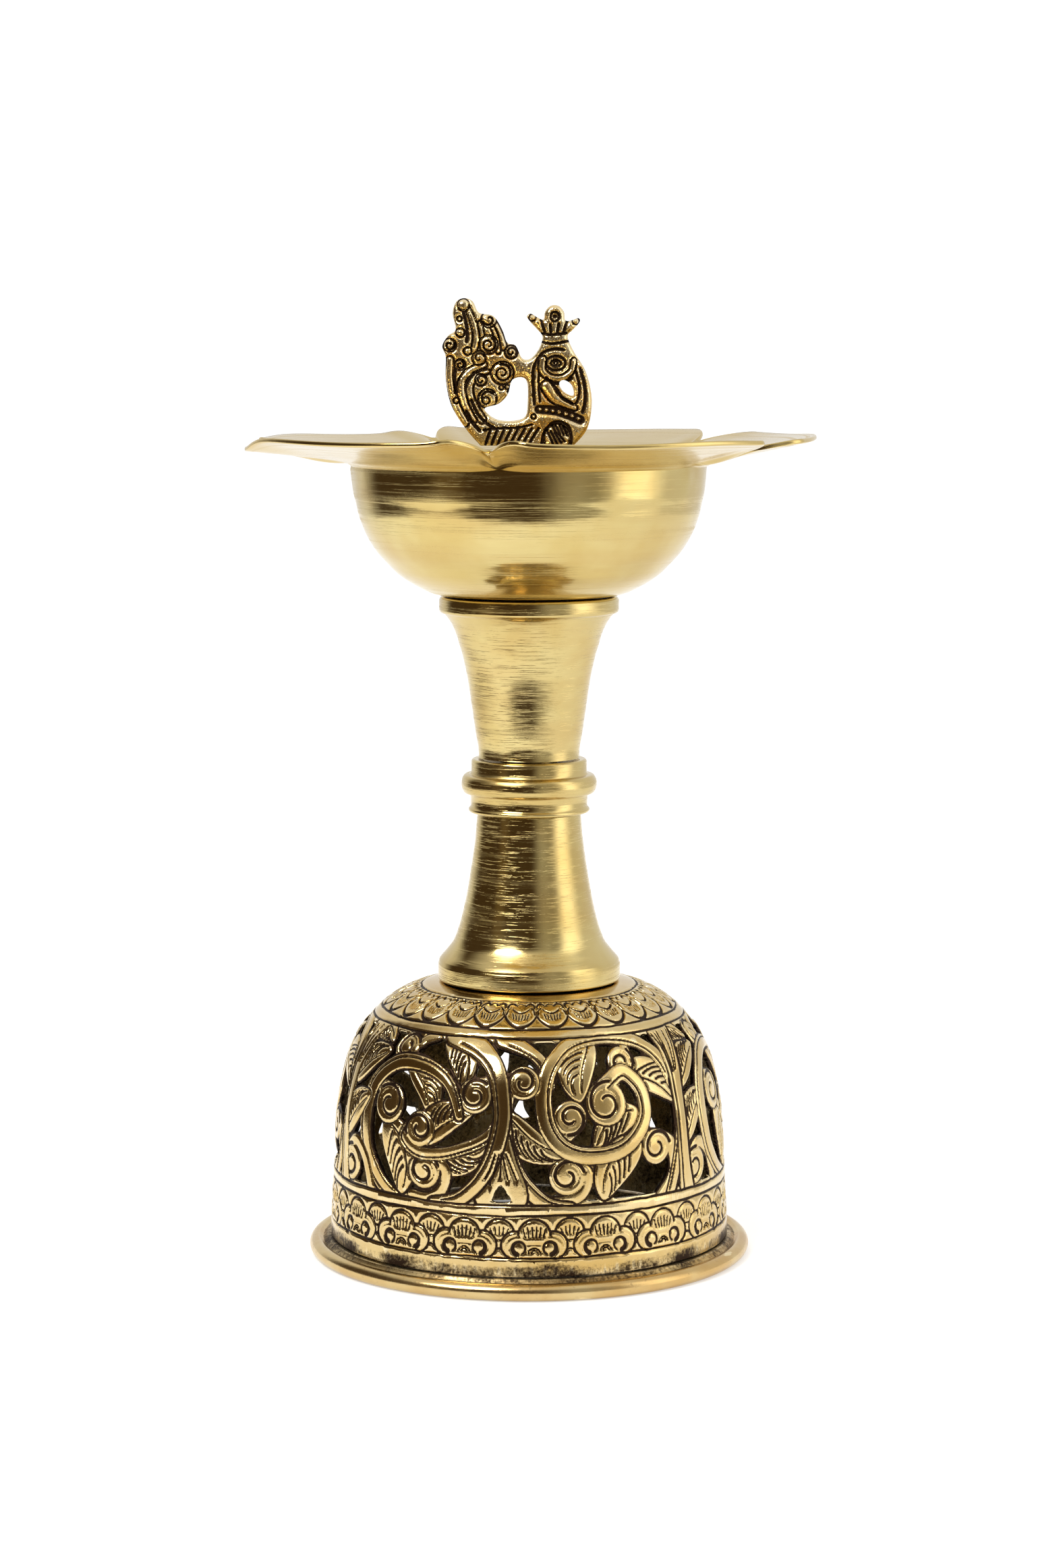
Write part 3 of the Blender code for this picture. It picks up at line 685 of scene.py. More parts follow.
def draw_scroll(relief, junction, chance):
    """One repeat of the scrollwork, in degrees from its junction and mm up the wall."""
    def at(d, s):
        wander = chance.normal(0, 0.10, 2)
        return ((junction + d) * UNROLL + wander[0], s + wander[1])

    def stalk(widths, *pairs):
        vine(relief, [at(*pair) for pair in pairs], widths)

    def blade(d0, s0, d1, s1, half, bend=0.0, cuts=5, side=1):
        leaf(relief, at(d0, s0), at(d1, s1), half, bend, cuts, side)

    def volute(d, s, radius, turn, stem, *tail):
        curl(relief, *at(d, s), radius, [at(*pair) for pair in tail], turn, stem)

    # Right panel. Leaves and small volutes first, then the stems that they spring from.
    blade(28.5, 47.6, 23.4, 34.8, 3.7, -0.16, 5, -1)
    blade(41.0, 40.2, 57.6, 32.2, 3.1, 0.14, 5, 1)
    blade(40.8, 31.8, 27.2, 24.6, 2.5, -0.14, 5, 1)
    blade(40.2, 25.4, 29.6, 15.0, 3.4, -0.14, 5, 1)
    blade(1.0, 32.2, 20.2, 24.0, 2.7, -0.14, 6, -1)
    volute(20.4, 31.6, 3.5, 1, 1.15, (12.8, 33.0), (14.4, 29.2), (17.6, 27.2))
    volute(39.0, 42.0, 3.5, -1, 1.15, (50.5, 43.6), (47.0, 46.0), (42.0, 46.4))
    volute(47.6, 24.2, 3.7, 1, 1.5, (49.0, 14.2), (54.2, 18.5), (53.8, 24.0))
    volute(18.6, 20.2, 3.7, 1, 1.15, (13.0, 15.0), (19.0, 14.9), (23.6, 17.0), (24.6, 20.6))
    stalk((1.3, 1.5, 2.2), (14.4, 38.0), (12.0, 43.0), (6.0, 46.2), (-1, 48.2))
    volute(31.6, 34.2, 4.6, 1, 1.75, (57.4, 36.5), (54.6, 41.4), (49.6, 45.4), (42, 47.6),
        (31, 48.0), (21.4, 46.4), (15.8, 42.8), (13.0, 38.5), (12.4, 34), (13.6, 29.6),
        (17.2, 26.2), (22.4, 24.3), (29, 23.8), (35.8, 24.7), (40.9, 27.1), (44.3, 30.8),
        (44.5, 35.0), (42.0, 38.4), (37.4, 40.0))
    # Left panel.
    blade(-20.5, 47.6, -12.0, 37.2, 2.9, 0.16, 5, -1)
    blade(-32.0, 41.6, -21.6, 30.6, 2.8, 0.16, 5, 1)
    blade(-24.5, 26.4, -8.6, 32.4, 2.9, 0.14, 5, 1)
    blade(-37.4, 28.4, -31.4, 15.0, 3.5, 0.14, 5, -1)
    blade(-20.5, 22.4, -3.4, 26.2, 2.4, -0.12, 5, -1)
    volute(-23.4, 20.4, 3.7, 1, 1.15, (-27.0, 15.0), (-21.0, 14.8), (-16.8, 17.2), (-16.4, 21.0))
    volute(-8.4, 36.0, 3.6, 1, 1.15, (-0.8, 30.2), (-1.0, 35.0), (-3.4, 38.4))
    volute(-37.0, 44.4, 3.6, 1, 1.15, (-26.0, 47.8), (-30.0, 46.8), (-32.0, 45.6))
    volute(-38.4, 32.4, 4.2, -1, 1.3, (-48.2, 26.8), (-47.0, 31.5), (-44.6, 35.4))
    stalk((1.5, 1.9, 2.1, 2.0, 1.75, 1.5, 1.0), (-32.5, 13.6), (-40.0, 16.4), (-45.8, 21.2),
        (-48.4, 26), (-48.6, 31), (-46.6, 35.5), (-42.5, 39.0), (-37, 41.0), (-30, 41.4),
        (-23, 40.6), (-18.0, 38.4), (-14.8, 35.2), (-12.8, 31.6))
    volute(-25.6, 28.4, 3.6, -1, 1.25, (0.5, 33.0), (-2.5, 29.0), (-6.0, 27.0), (-11, 25.2),
        (-18.5, 23.8), (-26, 23.6), (-31.0, 26.2))
    # Stalk between two panels, splayed at the upper band, with a leaf to each side.
    blade(60.5, 35.6, 76.5, 42.8, 2.7, 0.12, 6, 1)
    blade(59.5, 24.6, 72.0, 33.4, 2.9, 0.12, 6, 1)
    blade(61.5, 47.0, 75.0, 44.4, 2.0, 0.10, 5, -1)
    volute(64.2, 18.6, 3.9, 1, 1.25, (76.0, 14.6), (72.6, 20.2), (67.0, 23.2))
    stalk((1.3, 1.5, 1.4), (52.0, 13.4), (54.6, 18.0), (57.2, 23.5), (58.4, 30), (58.0, 36.5))
    stalk((2.6, 1.9, 1.7, 1.7, 2.1, 3.0, 4.6), (60.6, 13.0), (59.6, 18), (59.0, 24), (58.8, 30),
        (59.2, 36), (60.2, 42), (61.5, 49.5))
    for lean in (-1.0, -0.35, 0.35, 1.0):
        fan = [at(59.5 + lean * 1.2, 38.5), at(60.6 + lean * 2.6, 43), at(61.4 + lean * 4.8, 47.2)]
        relief.line(smooth_line(fan, 5), 0.26)
    # The junction: two stems part above the foot, a hatched fan between them, and a
    # ringed volute where they part again at the top.
    volute(6.4, 38.6, 3.5, -1, 1.1, (1.5, 31.0), (2.0, 35.4))
    stalk((1.8, 1.7, 1.6, 1.5), (0.2, 30), (1.6, 25.8), (4.4, 21.2), (8.2, 17.4), (13.4, 14.6),
        (19.5, 13.6))
    stalk((5.4, 3.4, 1.9), (-0.1, 16.6), (0.0, 21.5), (0.1, 27.5))
    stalk((1.6, 1.6, 1.7, 1.8, 2.0, 2.5, 2.8), (-19.5, 13.6), (-13.4, 14.8), (-8.2, 17.6),
        (-4.2, 21.4), (-1.4, 26), (-0.2, 31), (-0.2, 35), (-1.4, 39.4), (-4.6, 43.2), (-10, 46.4),
        (-19, 48.4))
    for lean in (-1, -0.5, 0, 0.5, 1):
        fan = [at(lean * 4.4 - 0.1, 19.6), at(lean * 3.0, 21.6), at(lean * 1.4, 24.6)]
        relief.line(smooth_line(fan, 5), 0.28)
    relief.pierce(np.array([at(-0.1, 15.0), at(-0.1, 18.9)]), np.array([2.4, 0.2]))


def draw_flowers(relief, chance):
    """The band under the scroll: three-lobed flowers, and a small fan between two."""
    u = np.linspace(0, 1, 15)
    round_eye = np.radians(np.linspace(-60, 250, 20))
    places = (-58.5 + 20 * np.arange(18)) * UNROLL + chance.normal(0, 0.15, 18)
    places = np.where(places > relief.x[-1], places - relief.round_trip, places)
    lifts = chance.normal(0, 0.08, 18)

    def disc(x, y, r, hem=0.95):
        relief.disc(x, y, r, 0.44, hem)

    def ticks(x, count, low, high):
        for lean in np.linspace(-1, 1, count):
            ends = [[x + low[0] * lean, low[1]], [x + high[0] * lean, high[1] - 0.45 * lean**2]]
            relief.line(np.array(ends), 0.24, 0.85)

    for x, up in zip(places + 7.0, lifts):
        disc(x, 8.9 + up, 2.9)
        relief.form(np.array([[x - 1.2, 5.2], [x + 1.2, 5.2]]), np.full(2, 1.6), 0.42, 0)
        ticks(x, 5, (1.3, 8.6 + up), (1.8, 10.3 + up))
        for size, y in ((1.5, 6.7), (0.9, 5.0)):
            relief.line(np.c_[x + size * np.cos(math.pi * u), y + 0.9 * np.sin(math.pi * u)], 0.24)
    for x, up in zip(places, lifts):
        for way in (-1, 1):
            disc(x + way * 3.75, 6.6, 2.75)
        disc(x, 8.5 + up, 3.15)
        for aside, y, r in ((-3.6, 6.2, 2.3), (3.6, 6.2, 2.3), (0, 7.6, 2.5)):
            disc(x + aside, y, r, 0)
        relief.form(np.array([[x - 3.6, 5.3], [x + 3.6, 5.3]]), np.full(2, 1.7), 0.42, 0)
        ticks(x, 6, (1.7, 8.0 + up), (2.2, 10.2 + up))
        for way in (-1, 1):
            eye = np.c_[x + way * 3.0 - 1.25 * np.cos(round_eye) * way, 6.0 + 1.3 * np.sin(round_eye)]
            relief.line(eye, 0.24 + 0.5 * np.linspace(0, 1, 20) ** 2)
        for size in (1.2, 0.65):
            bow = np.c_[x + size * np.cos(math.pi * u), 4.9 + size * 0.9 * np.sin(math.pi * u)]
            relief.line(bow, 0.22)


def draw_petals(relief, chance):
    """The band on the shoulder: hanging petals with hatched hearts, and curls above."""
    pitch = relief.round_trip / 27
    for k in range(27):
        x = relief.x[0] + pitch * (k + 0.5) + chance.normal(0, 0.10)
        u = np.linspace(0, 1, 17)
        sag = 54.2 - 3.3 * np.sin(math.pi * u) ** 0.75
        half = pitch / 2
        relief.line(np.c_[x - half + 2 * half * u, sag], 0.30 + 0.25 * np.sin(math.pi * u))
        for n in range(6):
            lean = (n - 2.5) / 2.5
            ends = [[x + 1.9 * lean, 52.9 + 0.3 * lean**2], [x + 2.5 * lean, 54.5 + 0.5 * lean**2]]
            relief.line(np.array(ends), 0.22, 0.9)
        lid = 56.4 - 1.3 * np.sin(math.pi * u) ** 0.8
        relief.line(np.c_[x - 2.6 + 5.2 * u, lid], 0.24 + 0.12 * np.sin(math.pi * u))
        stem = x + half
        for way in (-1, 1):
            a = np.radians(np.linspace(200, 20, 12))
            ring = np.c_[stem + way * (1.75 + 1.35 * np.cos(a)), 57.2 + 1.5 * np.sin(a)]
            relief.line(ring, 0.24 + 0.3 * np.sin(np.linspace(0, math.pi, 12)))
            side = [[stem + way * 0.5, 54.5], [stem + way * 0.7, 56.0], [stem + way * 1.6, 56.9]]
            relief.line(np.array(side), 0.24)
        for n in range(3):
            ends = [[stem - 0.5 + 0.5 * n, 54.6], [stem - 0.7 + 0.7 * n, 55.6]]
            relief.line(np.array(ends), 0.2, 0.8)
        relief.line(np.c_[x + 1.3 * np.cos(math.pi * u), 57.6 + 1.0 * np.sin(math.pi * u)], 0.28)


def eased(field, rounds):
    """The field blurred a little, which rounds inside corners as a file does."""
    for _ in range(rounds):
        field = (np.roll(field, 1, 1) + 2 * field + np.roll(field, -1, 1)) / 4
        tall = np.vstack([field[:1], field, field[-1:]])
        field = (tall[:-2] + 2 * field + tall[2:]) / 4
    return field


def snap_to_edge(relief):
    """Grid places in mm, with those close to a cut edge moved onto it."""
    wide = np.hstack([relief.solid[:, -1:], relief.solid, relief.solid[:, :1]])
    slope_y = np.gradient(wide, relief.cell, axis=0)[:, 1:-1]
    slope_x = np.gradient(wide, relief.cell, axis=1)[:, 1:-1]
    x, y = np.meshgrid(relief.x, relief.y)
    steep = np.maximum(slope_x**2 + slope_y**2, 0.25)
    near = np.abs(relief.solid) < 0.35 * relief.cell
    reach = 0.45 * relief.cell
    x = x + np.where(near, np.clip(-relief.solid * slope_x / steep, -reach, reach), 0)
    y = y + np.where(near, np.clip(-relief.solid * slope_y / steep, -reach, reach), 0)
    relief.solid[near] = 0
    return x, y


def cut_out(name, front, back, solid, stain_and_shade, wraps):
    """The closed mesh of a sheet between two grids of points, where solid is not
    negative. Its cut edge runs between grid points, so holes come out smooth."""
    rows, cols = solid.shape
    count = rows * cols
    number = np.arange(count).reshape(rows, cols)
    nxt = np.roll(number, -1, 1)
    if not wraps:
        number, nxt = number[:, :-1], nxt[:, :-1]
    a, b, c, d = number[:-1], nxt[:-1], nxt[1:], number[1:]
    even = (np.add.outer(np.arange(a.shape[0]), np.arange(a.shape[1])) % 2 == 0)
    first = np.where(even[..., None], np.stack([a, b, c], -1), np.stack([a, b, d], -1))
    other = np.where(even[..., None], np.stack([a, c, d], -1), np.stack([b, c, d], -1))
    corners = np.vstack([first.reshape(-1, 3), other.reshape(-1, 3)])
    level = solid.ravel()
    corners = corners[(level[corners] > 0).any(1)]
    ahead = np.roll(corners, -1, 1)
    crosses = (level[corners] * level[ahead]) < 0
    key = np.minimum(corners, ahead) * count + np.maximum(corners, ahead)
    keys, cut_number = np.unique(key[crosses], return_inverse=True)
    slots = np.full((len(corners), 6), -1)
    slots[:, 0::2] = np.where(level[corners] >= 0, corners, -1)
    cuts = np.full(corners.shape, -1)
    cuts[crosses] = count + cut_number.reshape(-1)
    slots[:, 1::2] = cuts
    order = np.argsort(slots < 0, axis=1, kind="stable")
    slots = np.take_along_axis(slots, order, 1)
    sides = (slots >= 0).sum(1)
    faces = np.vstack([slots[sides >= 3][:, :3], slots[sides == 4][:, [0, 2, 3]]])
    low, high = keys // count, keys % count
    share = (level[low] / (level[low] - level[high]))[:, None]

    def with_cuts(grid):
        """The grid's values, and those at the cut edge between two grid points."""
        flat = grid.reshape(count, -1)
        return np.vstack([flat, flat[low] + share * (flat[high] - flat[low])])

    outer, inner, dark = with_cuts(front), with_cuts(back), with_cuts(stain_and_shade)
    used, faces = np.unique(faces, return_inverse=True)
    faces = faces.reshape(-1, 3)
    outer, inner, dark = outer[used], inner[used], dark[used]
    total = len(used)
    edges = np.vstack([faces[:, [0, 1]], faces[:, [1, 2]], faces[:, [2, 0]]])
    forward = edges[:, 0] * total + edges[:, 1]
    rim = edges[~np.isin(edges[:, 1] * total + edges[:, 0], forward)]
    p, q = rim[:, 0], rim[:, 1]
    wall = np.vstack([np.c_[q, p, p + total], np.c_[q, p + total, q + total]])
    triangles = np.vstack([faces, faces[:, ::-1] + total, wall]).astype(np.int32)
    points = np.vstack([outer, inner]).astype(np.float32)
    mesh = bpy.data.meshes.new(name)
    mesh.vertices.add(len(points))
    mesh.vertices.foreach_set("co", points.ravel())
    mesh.loops.add(triangles.size)
    mesh.loops.foreach_set("vertex_index", triangles.ravel())
    mesh.polygons.add(len(triangles))
    mesh.polygons.foreach_set("loop_start", np.arange(0, triangles.size, 3, dtype=np.int32))
    mesh.update(calc_edges=True)
    set_hollow_and_shade(mesh, np.r_[dark[:, 0], dark[:, 1]])
    return smooth_faces(mesh, 60)


def make_dome():
    """The drawing, laid round the dome's outline and cut through its wall."""
    turn_mm = 360 * UNROLL
    relief = Relief((-90 * UNROLL, FOOT_RISE_MM), (270 * UNROLL, DRAWING_TOP), CUT_MM)
    cell = turn_mm / len(relief.x)
    relief.x = -90 * UNROLL + cell * np.arange(len(relief.x))
    relief.round_trip = turn_mm
    rise = np.broadcast_to(relief.y[:, None], relief.solid.shape)
    relief.solid = np.maximum(SCROLL_LOW - rise, rise - SCROLL_HIGH)
    relief.crown[:] = FIELD
    chance = np.random.default_rng(7)
    for junction in JUNCTIONS:
        draw_scroll(relief, junction, chance)
    relief.solid = np.maximum(relief.solid, np.maximum(SCROLL_LOW - rise, rise - SCROLL_HIGH))
    relief.solid = eased(np.clip(relief.solid, -1.5, 1.5), 5) + 0.08
    bands = np.clip(np.maximum(SCROLL_LOW - 0.35 - rise, rise - SCROLL_HIGH - 0.35) / 0.4, 0, 1)
    relief.groove *= 1 - bands
    relief.crown += bands * (FIELD - relief.crown)
    draw_flowers(relief, chance)
    draw_petals(relief, chance)
    ring = np.linspace(-95 * UNROLL, 275 * UNROLL, 160)
    for up, width in BAND_LINES:
        line = np.c_[ring, up + 0.10 * np.sin(ring * 0.21 + up) + chance.normal(0, 0.03, len(ring))]
        at, deep = relief.depth_in(line, np.full(len(ring), width / 2))
        cut = 0.95 * np.clip(deep / (width / 2) + 0.6, 0, 1)
        relief.groove[at] = np.maximum(relief.groove[at], cut)
    x, y = snap_to_edge(relief)
    rounded = 0.22 * np.clip(1 - relief.solid / 0.4, 0, 1) ** 2
    height = relief.crown - FIELD - CHASE_DEPTH * relief.groove - rounded
    stain_and_shade = np.clip(relief.groove, 0, 1) + 0.35 * np.clip(1 - relief.solid / 0.3, 0, 1)
    # The foot is worn and stained, and a few plain rows close the wall above the petals.
    foot = np.clip((4.2 - y) / 2.5, 0, 1)
    patches = np.sin(x * 0.31) * np.sin(x * 0.083 + 1.1)
    ripple = np.sin(4.4 * y + 1.5 * np.sin(x * 0.21) + 0.9 * np.sin(x * 0.5))
    streaks = 0.5 + 0.28 * patches + 0.22 * ripple
    stain_and_shade = np.maximum(stain_and_shade, foot * (0.27 + 0.34 * streaks))
    cols = x.shape[1]
    x = np.vstack([x, np.tile(relief.x, (len(PLAIN_ROWS), 1))])
    y = np.vstack([y, np.tile(PLAIN_ROWS[:, None], (1, cols))])
    plain = np.zeros((len(PLAIN_ROWS), cols))
    height, stain_and_shade = np.vstack([height, plain]), np.vstack([stain_and_shade, plain])
    solid = np.vstack([relief.solid, plain + 5])
    outline = smooth_line(DOME_OUTLINE_MM, 8)
    along = np.r_[0, np.cumsum(np.hypot(*np.diff(outline, axis=0).T))] + FOOT_RISE_MM
    y = np.minimum(y, along[-1])
    tangent = np.gradient(outline, axis=0)
    tangent /= np.hypot(tangent[:, 0], tangent[:, 1])[:, None]
    radius, z = np.interp(y, along, outline[:, 0]), np.interp(y, along, outline[:, 1])
    out_r, out_z = np.interp(y, along, tangent[:, 1]), np.interp(y, along, -tangent[:, 0])
    bearing = np.radians(x / UNROLL)

    def on_wall(off):
        """Places at a distance off the wall, in mm, outwards."""
        r = (radius + out_r * off) * MM
        return np.stack([r * np.sin(bearing), -r * np.cos(bearing), (z + out_z * off) * MM], -1)

    front, back = on_wall(height), on_wall(-DOME_WALL_MM)
    # The back face carries the painted shade of the dome's inside.
    both = np.stack([stain_and_shade, np.full(stain_and_shade.shape, INSIDE_PAINTED_SHADE)], -1)
    return cut_out("dome_pierced", front, back, solid, both, True)


dome_brass = antique_brass(
    "antique_brass_dome", (0.66, 0.50, 0.235), (0.57, 0.385, 0.135), shine=0.13, tarnish=0.30, reach=0.42
)
dome = show("dome_pierced", make_dome(), dome_brass, "base", "antique_brass", "dome_shell")
thin = dome.modifiers.new("Thinned", "DECIMATE")
thin.ratio = 0.5


# ---------------------------------------------------------------- Boss under the crown
# A plain turned brass boss, soldered under the crown and tapped for the stem. It was
# never polished.
def cast_brass(name, shine=0.42):
    """Brass as it leaves the lathe or the mould: dull, with tool marks and stains."""
    made, tree, shader = new_material(name)
    tone = toned(tree, (0.68, 0.52, 0.27), (0.50, 0.35, 0.15), 0.6, shine)
    lines = place_group(tree, turning_lines, Pitch=0.0006, Seed=3.0)
    tree.links.new(tone.outputs["Colour"], shader.inputs["Base Color"])
    tree.links.new(tone.outputs["Roughness"], shader.inputs["Roughness"])
    marks = bump(tree, lines.outputs["Height"], 0.5, 0.00008)
    tree.links.new(marks, shader.inputs["Normal"])
    return made


def give_finish(node, material):
    """A CAD node that stays gets its finish in its own material slots."""
    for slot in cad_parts[node].material_slots:
        slot.material = material


give_finish("dome_boss", cast_brass("cast_brass_boss"))


# ---------------------------------------------------------------- Leather washers
# Thin rings cut from oiled brown leather. Each is pressed between two pieces that screw
# together, and keeps them from working loose.
def packing_leather(name):
    """Brown leather with a fine grain, dark and less dull where oil has soaked in."""
    made, tree, shader = new_material(name, 0.0)
    place = own_place(tree)
    grain = noise(tree, place, 2200, 4.0, 0.65)
    oil = ramp(tree, noise(tree, place, 300, 2.0), 0.4, 0.65)
    brown = mix_colour(tree, grain, (0.16, 0.075, 0.035), (0.34, 0.19, 0.10))
    tree.links.new(mix_colour(tree, oil, brown, (0.10, 0.045, 0.022)), shader.inputs["Base Color"])
    tree.links.new(math_node(tree, "MULTIPLY_ADD", oil, -0.25, 0.78), shader.inputs["Roughness"])
    tree.links.new(bump(tree, grain, 0.6, 0.00015), shader.inputs["Normal"])
    return made


washer_leather = packing_leather("leather_packing")
for washer in ("foot_washer", "bowl_washer", "finial_washer"):
    give_finish(washer, washer_leather)


# ---------------------------------------------------------------- Lower stem
# Turned from a hollow casting: a waist that swells to a round lip on the crown. It is
# polished on the lathe, so fine rings run round it.
SCRATCH_PITCH = 0.00013
STREAK_BROWN = (0.50, 0.33, 0.12)
PETAL_PAINTED_SHADE = (0.60, 0.44, 0.17)
PETALS_BEGIN = (0.1618, 0.1632)


def polished_brass(name, pale, warm, shine, pitch, depth, seed, scratch=0.6, petals=False):
    """Lathe-polished brass; on a petal rim the rings give way to a soft hammered face, tinted deeper with
    a painted warm shade and painted reflection from the bowl.
    Scratch is the strength of the short bright marks over the rings."""
    made, tree, shader = new_material(name)
    tone = toned(tree, pale, warm, 0.10, shine)
    lines = place_group(tree, turning_lines, Pitch=pitch, Seed=seed)
    streak = ramp(tree, lines.outputs["Streak"], 0.3, 0.7)
    streaked = math_node(tree, "MULTIPLY", streak, 0.35)
    shade = mix_colour(tree, streaked, tone.outputs["Colour"], STREAK_BROWN)
    scratched = ramp(tree, lines.outputs["Height"], 0.50, 0.66)
    rough = math_node(tree, "MULTIPLY_ADD", scratched, 0.16, tone.outputs["Roughness"])
    rough = math_node(tree, "MULTIPLY_ADD", streak, 0.04, rough)
    tree.links.new(rough, shader.inputs["Roughness"])
    height = lines.outputs["Height"]
    if petals:
        on_petal = ramp(tree, split_xyz(tree, own_place(tree))[2], *PETALS_BEGIN)
        height = math_node(tree, "MULTIPLY", height, math_node(tree, "SUBTRACT", 1.0, on_petal))
        # The petal rim is tinted deeper: a painted warm shade and painted reflection from the bowl.
        shade = mix_colour(tree, math_node(tree, "MULTIPLY", on_petal, 0.6), shade, PETAL_PAINTED_SHADE)
    tree.links.new(shade, shader.inputs["Base Color"])
    rings = bump(tree, height, 1.0, depth)
    dents = bump(tree, tone.outputs["Dents"], 0.5, 0.00010, rings)
    marks = place_group(tree, turning_lines, Pitch=SCRATCH_PITCH, Seed=seed + 7, Breaks=3.5)
    cuts = ramp(tree, marks.outputs["Height"], 0.54, 0.70)
    tree.links.new(bump(tree, cuts, scratch, 0.000034, dents), shader.inputs["Normal"])
    return made


STEM_PALE = (0.63, 0.51, 0.225)
STEM_WARM = (0.57, 0.43, 0.16)
stem_brass = polished_brass(
    "polished_brass_stem", STEM_PALE, STEM_WARM, shine=0.105, pitch=0.00060, depth=0.000022, seed=0.0
)

lower_outline = MM * np.vstack(
    [
        [(0, 63.5), (12.0, 65.0), (10.0, 72.0), (8.0, 79.0), (6.4, 80.0), (6.4, 90.9)],
        smooth_line([
            (10.55, 90.9), (10.65, 90.1), (11.0, 85.9), (11.55, 81.75), (12.2, 77.6), (12.95, 73.4),
            (13.9, 69.2), (15.3, 65.0), (16.7, 62.9), (17.9, 61.5), (18.45, 60.8),
        ], 5),
        arc((17.7, 59.7), 1.0, 35, 0, 4),
        [(18.7, 57.1)],
        arc((18.35, 57.05), 0.35, 0, -90, 4),
        [(13.5, 56.7), (13.5, 58.0), (5.0, 58.0), (5.0, 46.8), (4.2, 46.0), (0, 46.0)],
    ]
)
lower_mesh = turned("lower_stem_turned", lower_outline, 224)
show("lower_stem_turned", lower_mesh, stem_brass, "stem", "polished_brass", "lower_stem")


# ---------------------------------------------------------------- Knop
# A solid bead between two fillets, turned from one bar. A spigot at each end screws into
# the stem below it and the stem above it.
knop_outline = MM * np.vstack(
    [
        [(0, 112.0), (5.2, 112.0), (5.8, 111.4), (5.8, 102.1), (11.2, 102.1)],
        arc((11.2, 101.5), 0.6, 90, 0, 5),
        [(11.8, 99.5), (12.1, 99.05), (12.7, 98.95)],
        smooth_line([
            (12.7, 98.95), (13.25, 98.75), (13.70, 98.0), (13.85, 97.0), (13.70, 96.0),
            (13.25, 95.25), (12.7, 95.05),
        ], 5),
        [(12.2, 94.9), (11.95, 94.4), (11.9, 92.6), (12.1, 92.2)],
        arc((11.9, 91.7), 0.5, 45, -90, 6),
        [(5.8, 91.2), (5.8, 81.8), (5.2, 81.2), (0, 81.2)],
    ]
)
show("knop_turned", turned("knop_turned", knop_outline, 224), stem_brass, "stem", "polished_brass", "knop")


# ---------------------------------------------------------------- Upper stem
# Turned from a hollow casting: a waist that flares to the collar the bowl sits on. Its
# mouth is closed by a tapped plug, which was never polished.
upper_outline = MM * np.vstack(
    [
        [(11.3, 135.3), (17.3, 135.3)],
        arc((17.4, 134.4), 0.9, 80, 5, 5),
        [(18.3, 132.9)],
        arc((17.5, 132.7), 0.8, -5, -60, 5),
        smooth_line([
            (17.2, 131.75), (16.6, 131.0), (15.7, 129.6), (14.8, 127.5), (14.2, 125.4),
            (13.6, 123.4), (12.65, 119.2), (12.0, 115.1), (11.4, 110.9), (10.8, 106.8),
            (10.4, 104.7), (10.3, 102.9), (10.4, 102.4),
        ], 5),
        [(6.4, 102.4), (6.4, 112.5), (9.0, 116.0), (10.5, 124.2), (11.3, 124.2)],
    ]
)
upper_mesh = turned("upper_stem_turned", upper_outline, 224)
show("upper_stem_turned", upper_mesh, stem_brass, "stem", "polished_brass", "upper_stem")
give_finish("stem_top_plug", cast_brass("cast_brass_plug"))


# ---------------------------------------------------------------- Bowl
# One brass sheet spun to a bowl. Its rim is bent out flat, cut into five petals, and
# pinched between them into spouts for the wicks. The stud is riveted in its floor.
NOTCHES = (-9, 61, 133, 205, 274)
PETAL_REACH = (0.0570, 0.0580, 0.0580, 0.0555, 0.0580)
BOWL_R = 0.0360
BOWL_RIM_Z = 0.1623
PETAL_R = 0.0580
NOTCH_R = 0.0480
PETAL_TIP_Z = 0.1670
SHEET = 0.0009
NOTCH_LIFT = 0.0012
LIFT_SHARE = (0.50, 0.10, 0.10, 0.45, 0.35)
SHOULDER_LIFT = 0.0011
SHRUNK = 0.0003
NOTCH_WIDE = 0.24
ROUND_UNDER_RIM = 0.0009
COLUMNS_PER_PETAL = 84
PETAL_ROWS = 30
BOWL_OUTLINE_MM = (
    (36.0, 162.0), (35.9, 160.6), (35.75, 158.6), (35.5, 156.3), (35.05, 154.3), (34.6, 152.2),
    (33.95, 150.2), (33.1, 148.1), (32.0, 146.1), (30.55, 144.0), (28.7, 142.0), (26.6, 139.9),
    (23.8, 138.0), (20.5, 136.3), (18.3, 135.6),
)


